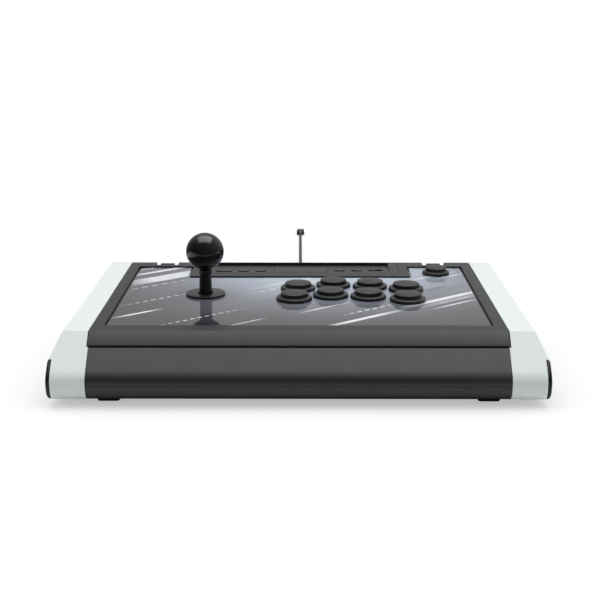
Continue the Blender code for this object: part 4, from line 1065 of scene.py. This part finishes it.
def make_world():
    """White studio: plain white to look at, with the studio's lights seen only by surfaces."""
    world = bpy.data.worlds.new("studio")
    bpy.context.scene.world = world
    world.use_nodes = True
    tree = world.node_tree
    tree.nodes.clear()
    direction = node(tree, "ShaderNodeTexCoord").outputs["Generated"]
    split = node(tree, "ShaderNodeSeparateXYZ", {"Vector": direction})
    x, y, z = split.outputs["X"], split.outputs["Y"], split.outputs["Z"]
    height = maths(tree, "MAXIMUM", z, 0.0)
    back = maths(tree, "MAXIMUM", y, 0.0)
    frontal = remap(tree, y, -0.8, 0.2, FRONT_SHARE, 1.0)
    raised = maths(tree, "MULTIPLY", maths(tree, "MULTIPLY", height, frontal), HEIGHT_GLOW)
    glow = maths(tree, "ADD", raised, SIDE_GLOW)
    glow = maths(tree, "ADD", glow, maths(tree, "MULTIPLY", back, BACK_GLOW))
    safe_height = maths(tree, "MAXIMUM", z, 0.05)
    right = maths(tree, "ABSOLUTE", maths(tree, "DIVIDE", x, safe_height))
    behind = maths(tree, "DIVIDE", y, safe_height)
    panel = remap(tree, right, PANEL_HALF_WIDTH + PANEL_SOFT, PANEL_HALF_WIDTH - PANEL_SOFT,
                  0.0, PANEL_GLOW)
    for edge, way in ((PANEL_FRONT, 1), (PANEL_BACK, -1)):
        inside = remap(tree, behind, edge - way * PANEL_SOFT, edge + way * PANEL_SOFT, 0.0, 1.0)
        panel = maths(tree, "MULTIPLY", panel, inside)
    above = maths(tree, "GREATER_THAN", z, 0.06)
    glow = maths(tree, "ADD", glow, maths(tree, "MULTIPLY", panel, above))
    glow = maths(tree, "MULTIPLY", glow, remap(tree, x, -1.0, 1.0, 1.0 - RIGHT_GLOW, 1.0 + RIGHT_GLOW))
    seen = node(tree, "ShaderNodeBackground", {"Color": (1.0, 1.0, 1.0, 1.0), "Strength": 1.0})
    lit = node(tree, "ShaderNodeBackground", {"Color": (1.0, 1.0, 1.0, 1.0), "Strength": glow})
    result = node(tree, "ShaderNodeOutputWorld")
    tree.links.new(shown_to_camera(tree, seen.outputs[0], lit.outputs[0]), result.inputs["Surface"])


def make_floor():
    """Pale floor, lifted to white where the camera sees it by a glow that leaves a painted contact shadow
    under and round the object; dimmer in what the object reflects, with a painted pool of light right below
    the case.
    """
    tree, shader = new_material("floor_white", Roughness=0.9)
    shader.inputs["Base Color"].default_value = (FLOOR_TONE, FLOOR_TONE, FLOOR_TONE, 1.0)
    shader.inputs["Specular IOR Level"].default_value = 0.0
    shader.inputs["Emission Color"].default_value = (1.0, 1.0, 1.0, 1.0)
    # painted contact shadow: the floor's camera-seen glow drops where the object stands close above it
    outside_painted_shadow = node(tree, "ShaderNodeAmbientOcclusion", {"Distance": PAINTED_SHADOW_REACH}).outputs["AO"]
    glow_with_painted_shadow = maths(tree, "ADD", maths(tree, "MULTIPLY", outside_painted_shadow, PAINTED_SHADOW_STRENGTH), FLOOR_GLOW)
    tree.links.new(glow_with_painted_shadow, shader.inputs["Emission Strength"])
    place = node(tree, "ShaderNodeTexCoord").outputs["Object"]
    split = node(tree, "ShaderNodeSeparateXYZ", {"Vector": place})
    # painted pool of light: for every ray but the camera's, the floor's colour is bright under the case and
    # darker further in front and behind
    depth = maths(tree, "ABSOLUTE", split.outputs["Y"])
    tone = remap(tree, depth, PAINTED_POOL_INNER, PAINTED_POOL_OUTER, PAINTED_POOL_TONE, TONE_BEYOND_PAINTED_POOL)
    colour = node(tree, "ShaderNodeCombineXYZ", {"X": tone, "Y": tone, "Z": tone}).outputs[0]
    painted_pool_diffuse = node(tree, "ShaderNodeBsdfDiffuse", {"Color": colour})
    surface = tree.nodes["Material Output"].inputs["Surface"]
    tree.links.new(shown_to_camera(tree, shader.outputs[0], painted_pool_diffuse.outputs[0]), surface)
    reach = 30.0
    floor = new_object("floor", slab(rectangle(-reach, reach, -reach, reach), -0.02, 0.0), WORLD)
    floor.data.materials.append(materials["floor_white"])


def make_stage():
    make_world()
    make_floor()
    bpy.context.scene.view_settings.view_transform = "Standard"


make_materials()
make_camera()
make_top_frame()
make_art_panel()
make_control_strip()
make_controls()
for button in button_names:
    make_button(button)
make_stick()
make_case()
make_wings()
make_side_caps()
make_feet()
make_bay_lamps()
make_underside_screws()
cable = make_cable()
fittings = [make_strain_relief(), *make_plug(), make_coil_tie()]
make_stage()

CAD_MATERIALS = {
    "steel": "steel", "black_steel": "black_oxide", "board_green": "board_green", "rubber": "rubber",
    "black_cap": "cap_plastic", "black_case": "case_plastic", "cable_black": "cable_jacket",
    "button_black": "button_plastic",
    "ball_black": "cover_plastic", "white_shell": "shell_white", "printed_sheet": "printed_sheet",
}
for piece in nodes.values():
    for material_slot in piece.material_slots:
        material_slot.material = materials[CAD_MATERIALS[material_slot.material.name.split(".")[0]]]
